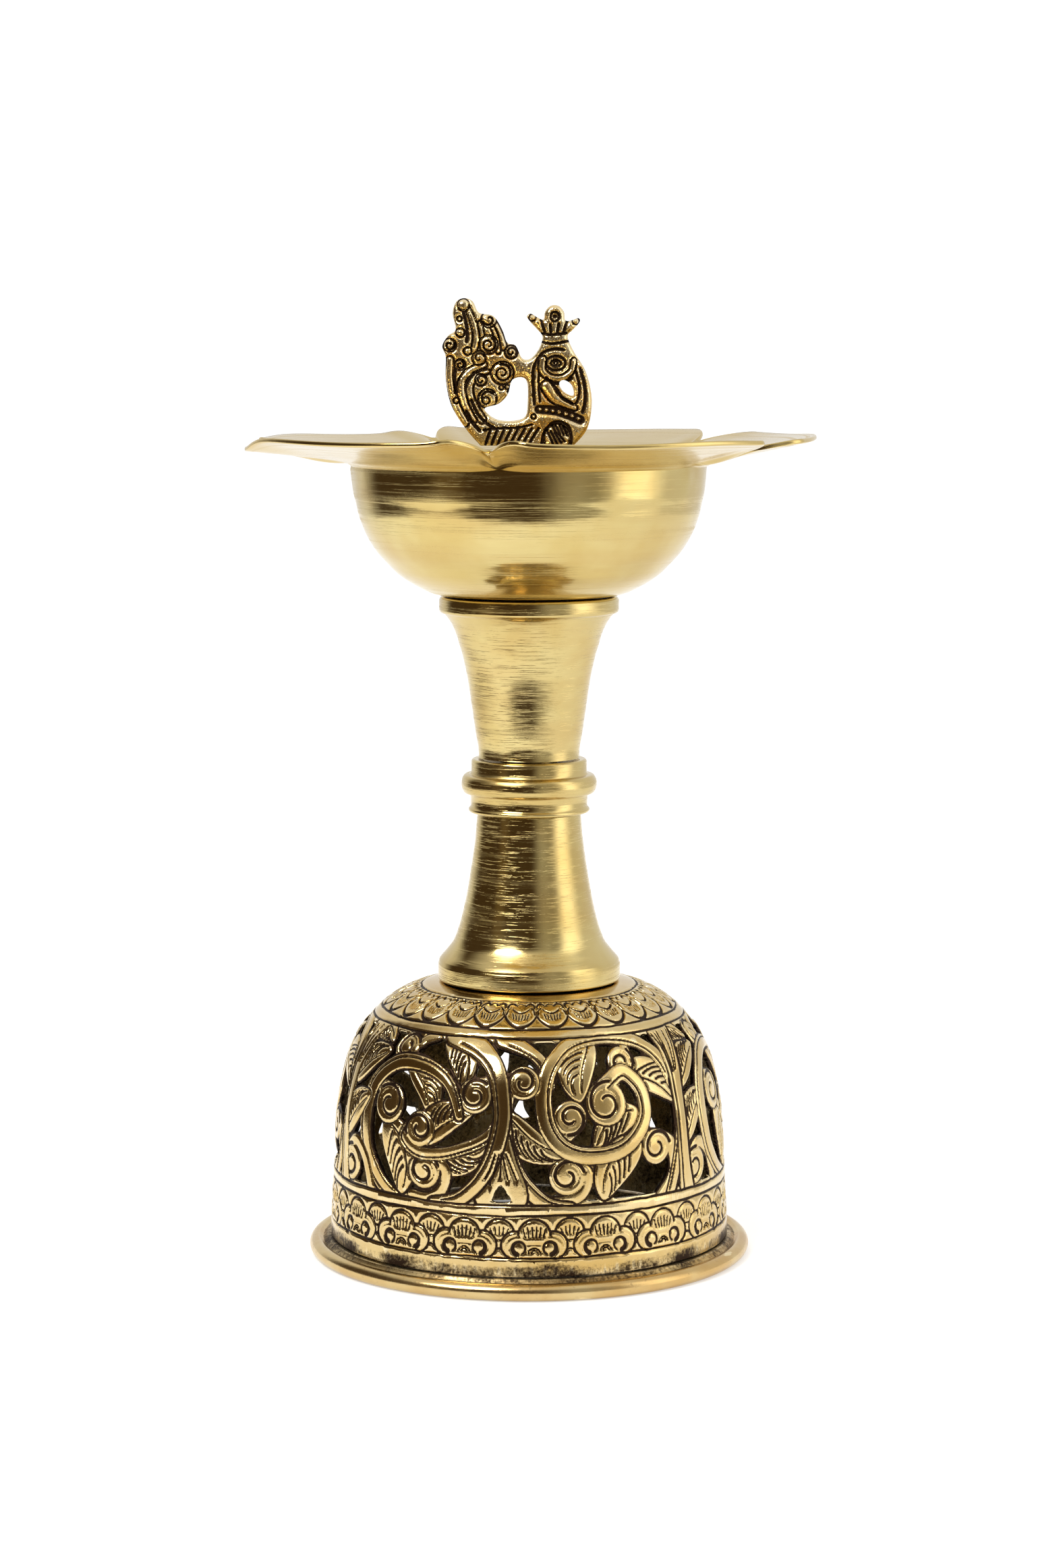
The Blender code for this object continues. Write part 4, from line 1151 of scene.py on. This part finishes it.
def make_bowl():
    """The bowl in rings: the petals from their tips in, the wall down to the floor, then
    back up the inside, closed by a rounded lip along the petals' edge."""
    cols = COLUMNS_PER_PETAL * len(NOTCHES)
    turn = np.arange(cols) / COLUMNS_PER_PETAL
    petal = turn.astype(int)
    part = 2 * (turn - petal) - 1
    start = np.array(NOTCHES)[petal]
    width = (np.roll(NOTCHES, -1)[petal] - start) % 360
    spread = part + 0.6 * np.sin(math.pi * part) / math.pi
    bearing = np.radians(start + width * (spread + 1) / 2)
    reach = np.array(PETAL_REACH)[petal] - SHRUNK
    near = np.clip((np.abs(spread) - 0.76) / NOTCH_WIDE, 0, 1)
    reach = reach + (NOTCH_R - reach) * near**1.6
    reach += 0.0004 * np.sin(bearing * 9 + 1) * (1 - near) ** 2 * 0.5
    shoulder = np.exp(-(((np.abs(spread) - 0.84) / 0.09) ** 2))
    fold = np.exp(-(((1 - np.abs(spread)) / 0.060) ** 2))
    lift_share = np.array(LIFT_SHARE)[(petal + (spread > 0)) % len(NOTCHES)]
    floor = [(17.0, 135.4), (10.0, 135.4), (3.3, 135.4)]
    wall = MM * np.vstack([smooth_line(BOWL_OUTLINE_MM, 4), floor])
    wall = wall[wall[:, 1] < BOWL_RIM_Z - ROUND_UNDER_RIM]
    slope = (PETAL_TIP_Z - BOWL_RIM_Z) / (PETAL_R - BOWL_R)
    radius, height = [], []
    for o in np.linspace(1, 0, PETAL_ROWS + 1) ** 1.15:
        r = BOWL_R + o * (reach - BOWL_R)
        lift = o * lift_share * (NOTCH_LIFT * near + SHOULDER_LIFT * shoulder)
        bend = 0.0007 * math.exp(-((o / 0.05) ** 2))
        dish = -0.0009 * 4 * o * (1 - o) * fold
        droop = -0.0022 * o**1.5 * (petal == 4) * np.exp(-(((spread + 0.80) / 0.22) ** 2))
        wave = 0.00022 * o * np.sin(bearing * 7 + 3 * o) * (1 - fold)
        cone = BOWL_RIM_Z + slope * (r - BOWL_R) - bend * (1 - 0.5 * near)
        radius.append(r)
        height.append(cone + lift + dish + droop + wave)
    pull = np.exp(-(((1 - np.abs(spread)) / 0.10) ** 2))
    for r, z in wall:
        pinch = 0.0003 * pull * max(0.0, (z - 0.1500) / 0.0123) ** 2
        radius.append(np.full(cols, r) + pinch)
        height.append(np.full(cols, z))
    radius, height = np.array(radius), np.array(height)
    outer = np.stack([radius * np.sin(bearing), -radius * np.cos(bearing), height], -1)
    down = np.gradient(outer, axis=0)
    along_ring = np.roll(outer, -1, 1) - np.roll(outer, 1, 1)
    inward = np.cross(down, along_ring)
    inward /= np.linalg.norm(inward, axis=-1, keepdims=True)
    if inward[PETAL_ROWS // 2, 20, 2] < 0:
        inward = -inward
    inner = outer + SHEET * inward
    edge = outer[0] - outer[1]
    edge /= np.linalg.norm(edge, axis=-1, keepdims=True)
    lips = []
    for share, out in ((0.15, 0.55), (0.5, 0.8), (0.85, 0.55)):
        lips.append(outer[0] + share * (inner[0] - outer[0]) + edge * out * 0.0003)
    rings = [*outer, *inner[::-1], *reversed(lips)]
    points = np.array(rings).reshape(-1, 3)
    grid = np.arange(len(points)).reshape(-1, cols)
    a, b = grid, np.roll(grid, -1, 1)
    c, d = np.roll(b, -1, 0), np.roll(a, -1, 0)
    faces = np.stack([a, d, c, b], -1).reshape(-1, 4)
    mesh = bpy.data.meshes.new("bowl_spun")
    mesh.from_pydata(points.tolist(), [], faces.tolist())
    return smooth_faces(mesh, 50)


BOWL_PALE = (0.635, 0.518, 0.228)
BOWL_WARM = (0.585, 0.445, 0.167)
bowl_brass = polished_brass(
    "polished_brass_bowl", BOWL_PALE, BOWL_WARM,
    shine=0.10, pitch=0.00070, depth=0.000026, seed=5.0, scratch=0.25, petals=True,
)
show("bowl_spun", make_bowl(), bowl_brass, "bowl", "polished_brass", "bowl")
give_finish("bowl_stud", cast_brass("cast_brass_stud", 0.32))


# ---------------------------------------------------------------- Finial post
# A turned post that screws into the stud. Its head is sawn with a slot for the
# peacock's tang, which a pin holds.
SLOT_LOW = 0.1612
PEACOCK_THICK = 0.0034
SLOT_WIDTH = PEACOCK_THICK + 0.0006
PIN_Z = 0.1632
PIN_R = 0.0011
PIN_SIDES = 24

post_outline = MM * np.vstack(
    [
        [(0, 165.2), (4.1, 165.2)],
        arc((4.1, 164.7), 0.5, 90, 0, 5),
        [(4.6, 159.9), (4.5, 159.6)],
        smooth_line([(4.5, 159.6), (3.2, 158.4), (2.72, 155.0), (3.1, 151.2), (4.45, 149.1)], 6),
        [(4.6, 148.7), (4.6, 147.2), (2.0, 147.2), (2.0, 140.6), (0, 140.2)],
    ]
)


def saw_cut():
    """Corners and faces of the block that the saw takes out of the head."""
    signs = np.array([(x, y, z) for x in (-1, 1) for y in (-1, 1) for z in (-1, 1)])
    corners = signs / 2 * (0.02, SLOT_WIDTH, 0.010) + (0, 0, SLOT_LOW + 0.005)
    return corners, [(0, 1, 3, 2), (4, 6, 7, 5), (0, 4, 5, 1), (2, 3, 7, 6), (0, 2, 6, 4), (1, 5, 7, 3)]


def drill():
    """Corners and faces of the round bar that the drill takes out for the pin."""
    n = PIN_SIDES
    spin = np.radians(360 * np.arange(n) / n)
    across, up = PIN_R * np.cos(spin), PIN_Z + PIN_R * np.sin(spin)
    corners = np.vstack([np.c_[across, np.full(n, y), up] for y in (0.01, -0.01)])
    faces = [(i, (i + 1) % n, n + (i + 1) % n, n + i) for i in range(n)]
    return corners, [*faces, tuple(reversed(range(n))), tuple(range(n, 2 * n))]


def make_post():
    """The turned post, with its slot and its pin hole cut out."""
    post = bpy.data.objects.new("blank", turned("blank", post_outline, 128))
    bpy.context.scene.collection.objects.link(post)
    tools = []
    for name, (corners, faces) in (("saw_cut", saw_cut()), ("drill", drill())):
        mesh = bpy.data.meshes.new(name)
        mesh.from_pydata(corners.tolist(), [], faces)
        tool = bpy.data.objects.new(name, mesh)
        bpy.context.scene.collection.objects.link(tool)
        tools.append(tool)
        cut = post.modifiers.new(name, "BOOLEAN")
        cut.operation = "DIFFERENCE"
        cut.object = tool
    bpy.context.view_layer.update()
    ready = post.evaluated_get(bpy.context.evaluated_depsgraph_get())
    made = bpy.data.meshes.new_from_object(ready)
    made.name = "finial_post_turned"
    for thing in (post, *tools):
        bpy.data.objects.remove(thing)
    return smooth_faces(made, 38)


post_brass = polished_brass(
    "polished_brass_post", STEM_PALE, STEM_WARM, shine=0.15, pitch=0.00035, depth=0.000008, seed=9.0
)
show("finial_post_turned", make_post(), post_brass, "finial", "polished_brass", "finial_post")
give_finish("finial_pin", cast_brass("cast_brass_pin", 0.30))


# ---------------------------------------------------------------- Peacock
# A flat sand casting with both faces modelled alike: a fan tail of curls, a crowned
# head over a beaded collar, and a hatched wing. It is blackened, then rubbed bright.
PEACOCK_OUTLINE_MM = (
    (-13.1, 195.3), (-14.7, 194.5), (-15.4, 192.2), (-14.8, 189.0), (-16.3, 187.8), (-17.5, 185.7),
    (-16.8, 183.5), (-16.8, 179.0), (-15.7, 173.8), (-12.7, 169.0), (-9.8, 165.7), (9.0, 165.7),
    (11.8, 169.2), (12.7, 174.8), (11.5, 180.5), (9.1, 184.5), (7.8, 187.6), (8.9, 189.0),
    (9.9, 190.1), (10.3, 190.9), (9.8, 191.3), (8.4, 190.8), (7.3, 190.9), (7.1, 192.4),
    (6.2, 193.6), (5.1, 193.9), (4.1, 193.6), (3.2, 192.5), (2.9, 191.0), (1.6, 191.5),
    (0.3, 192.2), (-0.4, 191.6), (0.3, 190.5), (1.5, 189.2), (2.7, 187.6), (2.0, 185.2),
    (0.3, 183.2), (-1.4, 183.3), (-2.7, 185.8), (-4.4, 186.4), (-5.4, 189.0), (-7.2, 191.7),
    (-10.1, 192.4), (-11.3, 194.6),
)
BELLY_HOLE_MM = (
    (-3.3, 179.0), (-0.6, 179.0), (-0.3, 174.4), (-1.2, 171.2), (-6.2, 170.9), (-9.0, 173.1),
    (-6.2, 174.1), (-4.3, 176.0),
)
THROAT_HOLE_MM = ((7.0, 178.9), (8.6, 177.9), (8.9, 175.8), (7.0, 176.6), (6.1, 178.2))
PIN_HOLE_MM = arc((0, PIN_Z / MM), 1.1, 0, 340, 17)
PEACOCK_CELL_MM = 0.16
TANG_TOP_MM = 165.4


def peacock_loops():
    """The casting's outline with its tang, and the edges of its three holes."""
    body = list(PEACOCK_OUTLINE_MM)
    corner = body.index((-9.8, 165.7))
    upper = smooth_line(body[corner + 1 :] + body[: corner + 1], 5)
    tang = [(-3.0, 165.7), (-3.0, 161.6), (3.0, 161.6), (3.0, 165.7)]
    holes = [smooth_line(hole, 5, True) for hole in (BELLY_HOLE_MM, THROAT_HOLE_MM)]
    return [np.vstack([upper, tang]), *holes, PIN_HOLE_MM]


def casting_blank(relief, loops):
    """Fills solid with the distance inside the outline and outside its holes."""
    px, py = np.meshgrid(relief.x, relief.y)
    gap = np.full(px.shape, 99.0)
    odd = np.zeros(px.shape, bool)
    for loop in loops:
        for a, b in zip(loop, np.roll(loop, -1, 0)):
            gap = np.minimum(gap, from_segment(px, py, a, b)[1])
            if a[1] != b[1]:
                spans = (a[1] > py) != (b[1] > py)
                odd ^= spans & (px < (b[0] - a[0]) * (py - a[1]) / (b[1] - a[1]) + a[0])
    relief.solid = np.where(odd, gap, -gap)


def draw_peacock(relief):
    """The modelling on one face, from the tail round to the crown."""
    solid = relief.solid.copy()
    relief.crown = 0.55 * quarter_round(solid / 1.5) + 0.1

    def ball(x, z, r, rise=0.75):
        relief.disc(x, z, r, rise, domed=0.9)

    def band(start, end, rise, *points):
        line = smooth_line(points, 6)
        relief.form(line, np.linspace(start, end, len(line)) * 1.15, rise, domed=0.8)

    def cut(width, *points):
        relief.line(smooth_line(points, 6), 1.1 * width)

    def coil(x, z, radius, start, turn, turns):
        ball(x, z, radius, 0.62)
        t = np.linspace(0, 1, 40)
        angle = math.radians(start) + turn * t * turns * 2 * math.pi
        reach = radius * (0.80 - 0.62 * t)
        relief.line(np.c_[x + reach * np.cos(angle), z + reach * np.sin(angle)], 0.36 - 0.1 * t)

    # Tail: long stems first, then the curls that lie over them.
    band(0.9, 0.7, 0.55, (-13.0, 170.5), (-15.0, 174.6), (-16.0, 179.0), (-15.9, 183.0))
    cut(0.45, (-14.8, 176.3), (-15.0, 179.0), (-14.8, 181.0))
    band(0.9, 0.6, 0.6, (-11.2, 171.2), (-13.2, 174.8), (-13.6, 178.4), (-11.8, 180.8), (-9.0, 182.0))
    band(0.8, 0.5, 0.6, (-9.5, 171.0), (-11.4, 174.4), (-11.9, 177.4), (-10.8, 179.4), (-8.4, 180.6))
    band(0.8, 0.5, 0.6, (-10.9, 184.8), (-10.6, 188.0), (-11.6, 191.5), (-12.6, 193.6))
    band(0.6, 0.4, 0.55, (-9.8, 184.6), (-9.4, 187.4), (-9.9, 190.4))
    band(0.6, 0.4, 0.55, (-5.0, 185.4), (-5.8, 188.0), (-7.0, 190.8))
    band(0.5, 0.4, 0.55, (-6.2, 184.6), (-6.6, 187.6), (-7.6, 189.8))
    cut(0.5, (-13.2, 192.4), (-12.7, 190.4), (-12.4, 188.2), (-12.6, 186.6))
    ball(-13.2, 193.9, 1.25)
    ball(-14.0, 191.2, 0.55)
    ball(-13.8, 188.4, 0.95)
    ball(-12.4, 184.7, 0.85)
    ball(-14.7, 174.8, 0.6)
    coil(-8.1, 191.0, 1.6, 200, 1, 0.8)
    coil(-16.0, 185.9, 1.35, 20, -1, 1.0)
    coil(-8.2, 186.0, 1.95, 60, -1, 1.4)
    coil(-13.9, 182.0, 1.15, 60, -1, 1.0)
    coil(-10.1, 183.3, 1.45, 20, 1, 0.8)
    coil(-3.6, 184.5, 1.35, 330, 1, 1.1)
    coil(-9.7, 178.9, 1.25, 30, 1, 0.9)
    coil(-5.4, 180.3, 2.35, 100, -1, 1.6)
    coil(-8.4, 175.2, 1.95, 40, 1, 0.9)
    ball(-8.7, 174.8, 0.75)
    for bead in ((-4.4, 177.5), (-3.9, 176.6), (-5.6, 177.4)):
        ball(*bead, 0.45)
    # Back and belly: two drawn-out folds, then the ribbed body.
    cut(0.5, (-12.6, 172.6), (-11.6, 170.6), (-9.9, 168.7))
    cut(0.45, (-11.6, 174.8), (-10.4, 172.2), (-8.8, 170.4), (-6.9, 169.2))
    for k in range(8):
        x = -8.6 + 1.25 * k
        lean = 0.5 + 0.10 * k
        cut(0.42, (x - 0.2, 165.9), (x + lean * 0.4, 167.2), (x + lean * 1.5, 168.7 + 0.08 * k))
    cut(0.35, (-9.2, 168.9), (-6.0, 169.2), (-2.2, 169.4), (0.6, 170.0))
    # Wing: a dome hatched to both sides of its quill.
    ball(5.6, 167.4, 2.75, 0.8)
    cut(0.4, (2.5, 165.9), (2.9, 168.2), (4.1, 169.9), (5.9, 170.6), (7.8, 169.8), (8.6, 167.8),
    (8.5, 166.0))
    for k in range(4):
        cut(0.34, (3.6 + 0.8 * k, 168.9 - 0.3 * k), (4.9 + 0.8 * k, 165.9 + 0.2 * k))
        cut(0.34, (4.6 + 0.8 * k, 169.9 - 0.1 * k), (5.6 + 0.7 * k, 168.0 - 0.1 * k))
    # Collar of beads in a dark channel.
    cut(1.5, (2.0, 173.0), (5.0, 172.8), (8.0, 171.9), (10.4, 170.9))
    for k in range(7):
        ball(2.2 + 1.3 * k, 173.05 - 0.036 * k * k - 0.10 * k, 0.56, 0.75)
    ball(0.9, 171.6, 0.5)
    # Neck and throat.
    cut(0.45, (1.1, 174.0), (0.8, 179.0), (1.1, 181.8), (2.6, 184.2), (4.8, 185.1), (7.0, 185.0))
    cut(0.35, (2.2, 174.6), (1.9, 178.5), (2.3, 181.6), (3.2, 183.2))
    cut(0.5, (10.3, 181.2), (11.2, 177.8), (11.3, 174.6), (10.8, 172.4))
    cut(0.4, (9.4, 180.6), (10.1, 178.0), (10.0, 175.4), (9.2, 173.8))
    # Cheek and beak: a heavy lid under the eye, and the beak bent to the breast.
    band(0.75, 0.55, 0.85, (2.8, 183.0), (2.7, 180.8), (4.4, 179.4), (6.8, 179.4), (8.6, 180.8),
    (9.0, 182.8))
    cut(0.5, (3.4, 179.4), (5.0, 178.3), (7.0, 178.4), (8.6, 179.3))
    band(1.2, 0.6, 0.8, (3.6, 177.6), (5.0, 175.4), (7.2, 174.2), (9.2, 173.3))
    cut(0.45, (4.4, 178.6), (5.8, 176.8), (6.9, 175.2), (8.8, 174.2))
    # Eye: an oval lid round a small pupil.
    spin = np.linspace(0, 2 * math.pi, 30)
    for rx, rz, width in ((1.95, 1.45, 0.42), (1.05, 0.62, 0.34), (0.35, 0.25, 0.3)):
        relief.line(np.c_[5.4 + rx * np.cos(spin), 182.3 + rz * np.sin(spin)], width)
    # Crown: a plain band, three points and the pierced jewel in the middle one.
    cut(0.4, (2.4, 186.6), (4.6, 186.2), (7.9, 186.7))
    cut(0.4, (2.5, 188.2), (4.8, 188.0), (7.5, 188.3))
    for foot, *tip in ((3.2, 2.4, 191.0), (4.4, 4.3, 190.0), (5.7, 6.0, 190.2), (6.9, 7.7, 190.8)):
        cut(0.42, (foot, 188.4), tip)
    ball(0.7, 191.4, 0.7)
    ball(9.4, 190.7, 0.7)
    relief.line(np.c_[5.2 + 0.85 * np.cos(spin), 191.6 + 0.95 * np.sin(spin)], 0.4)
    relief.line(np.array([[5.2, 191.6], [5.25, 191.6]]), 0.8)
    relief.solid = solid


def make_peacock():
    """The flat casting, with the same relief on its front and its back."""
    relief = Relief((-18.4, 161.0), (13.6, 196.2), PEACOCK_CELL_MM)
    casting_blank(relief, peacock_loops())
    draw_peacock(relief)
    on_tang = relief.y[:, None] < TANG_TOP_MM
    relief.groove = np.where(on_tang, 0, relief.groove)
    x, y = snap_to_edge(relief)
    rounded = 0.5 * np.clip(1 - relief.solid / 0.7, 0, 1) ** 2
    grain = 0.03 * np.random.default_rng(3).normal(0, 1, relief.solid.shape)
    face = 0.60 + 1.35 * relief.crown - 0.6 * relief.groove - rounded + grain
    face = np.where(on_tang, PEACOCK_THICK / MM / 2, np.minimum(face, 1.68))
    front = np.stack([x * MM, -face * MM, y * MM], -1)
    back = np.stack([x * MM, face * MM, y * MM], -1)
    stain_and_shade = np.clip(relief.groove * 1.1, 0, 1) + 0.3 * np.clip(0.35 - relief.crown, 0, 1)
    stain_and_shade = np.where(on_tang, 0.2, stain_and_shade)
    both = np.stack([stain_and_shade, stain_and_shade], -1)
    return cut_out("peacock_cast", front, back, relief.solid, both, False)


PEACOCK_PALE = (0.98, 0.84, 0.54)
PEACOCK_WARM = (0.86, 0.54, 0.16)
peacock_brass = antique_brass(
    "antique_brass_peacock", PEACOCK_PALE, PEACOCK_WARM, shine=0.24, tarnish=0.25, reach=0.70, grit=0.00018
)
show("peacock_cast", make_peacock(), peacock_brass, "finial", "antique_brass", "peacock")
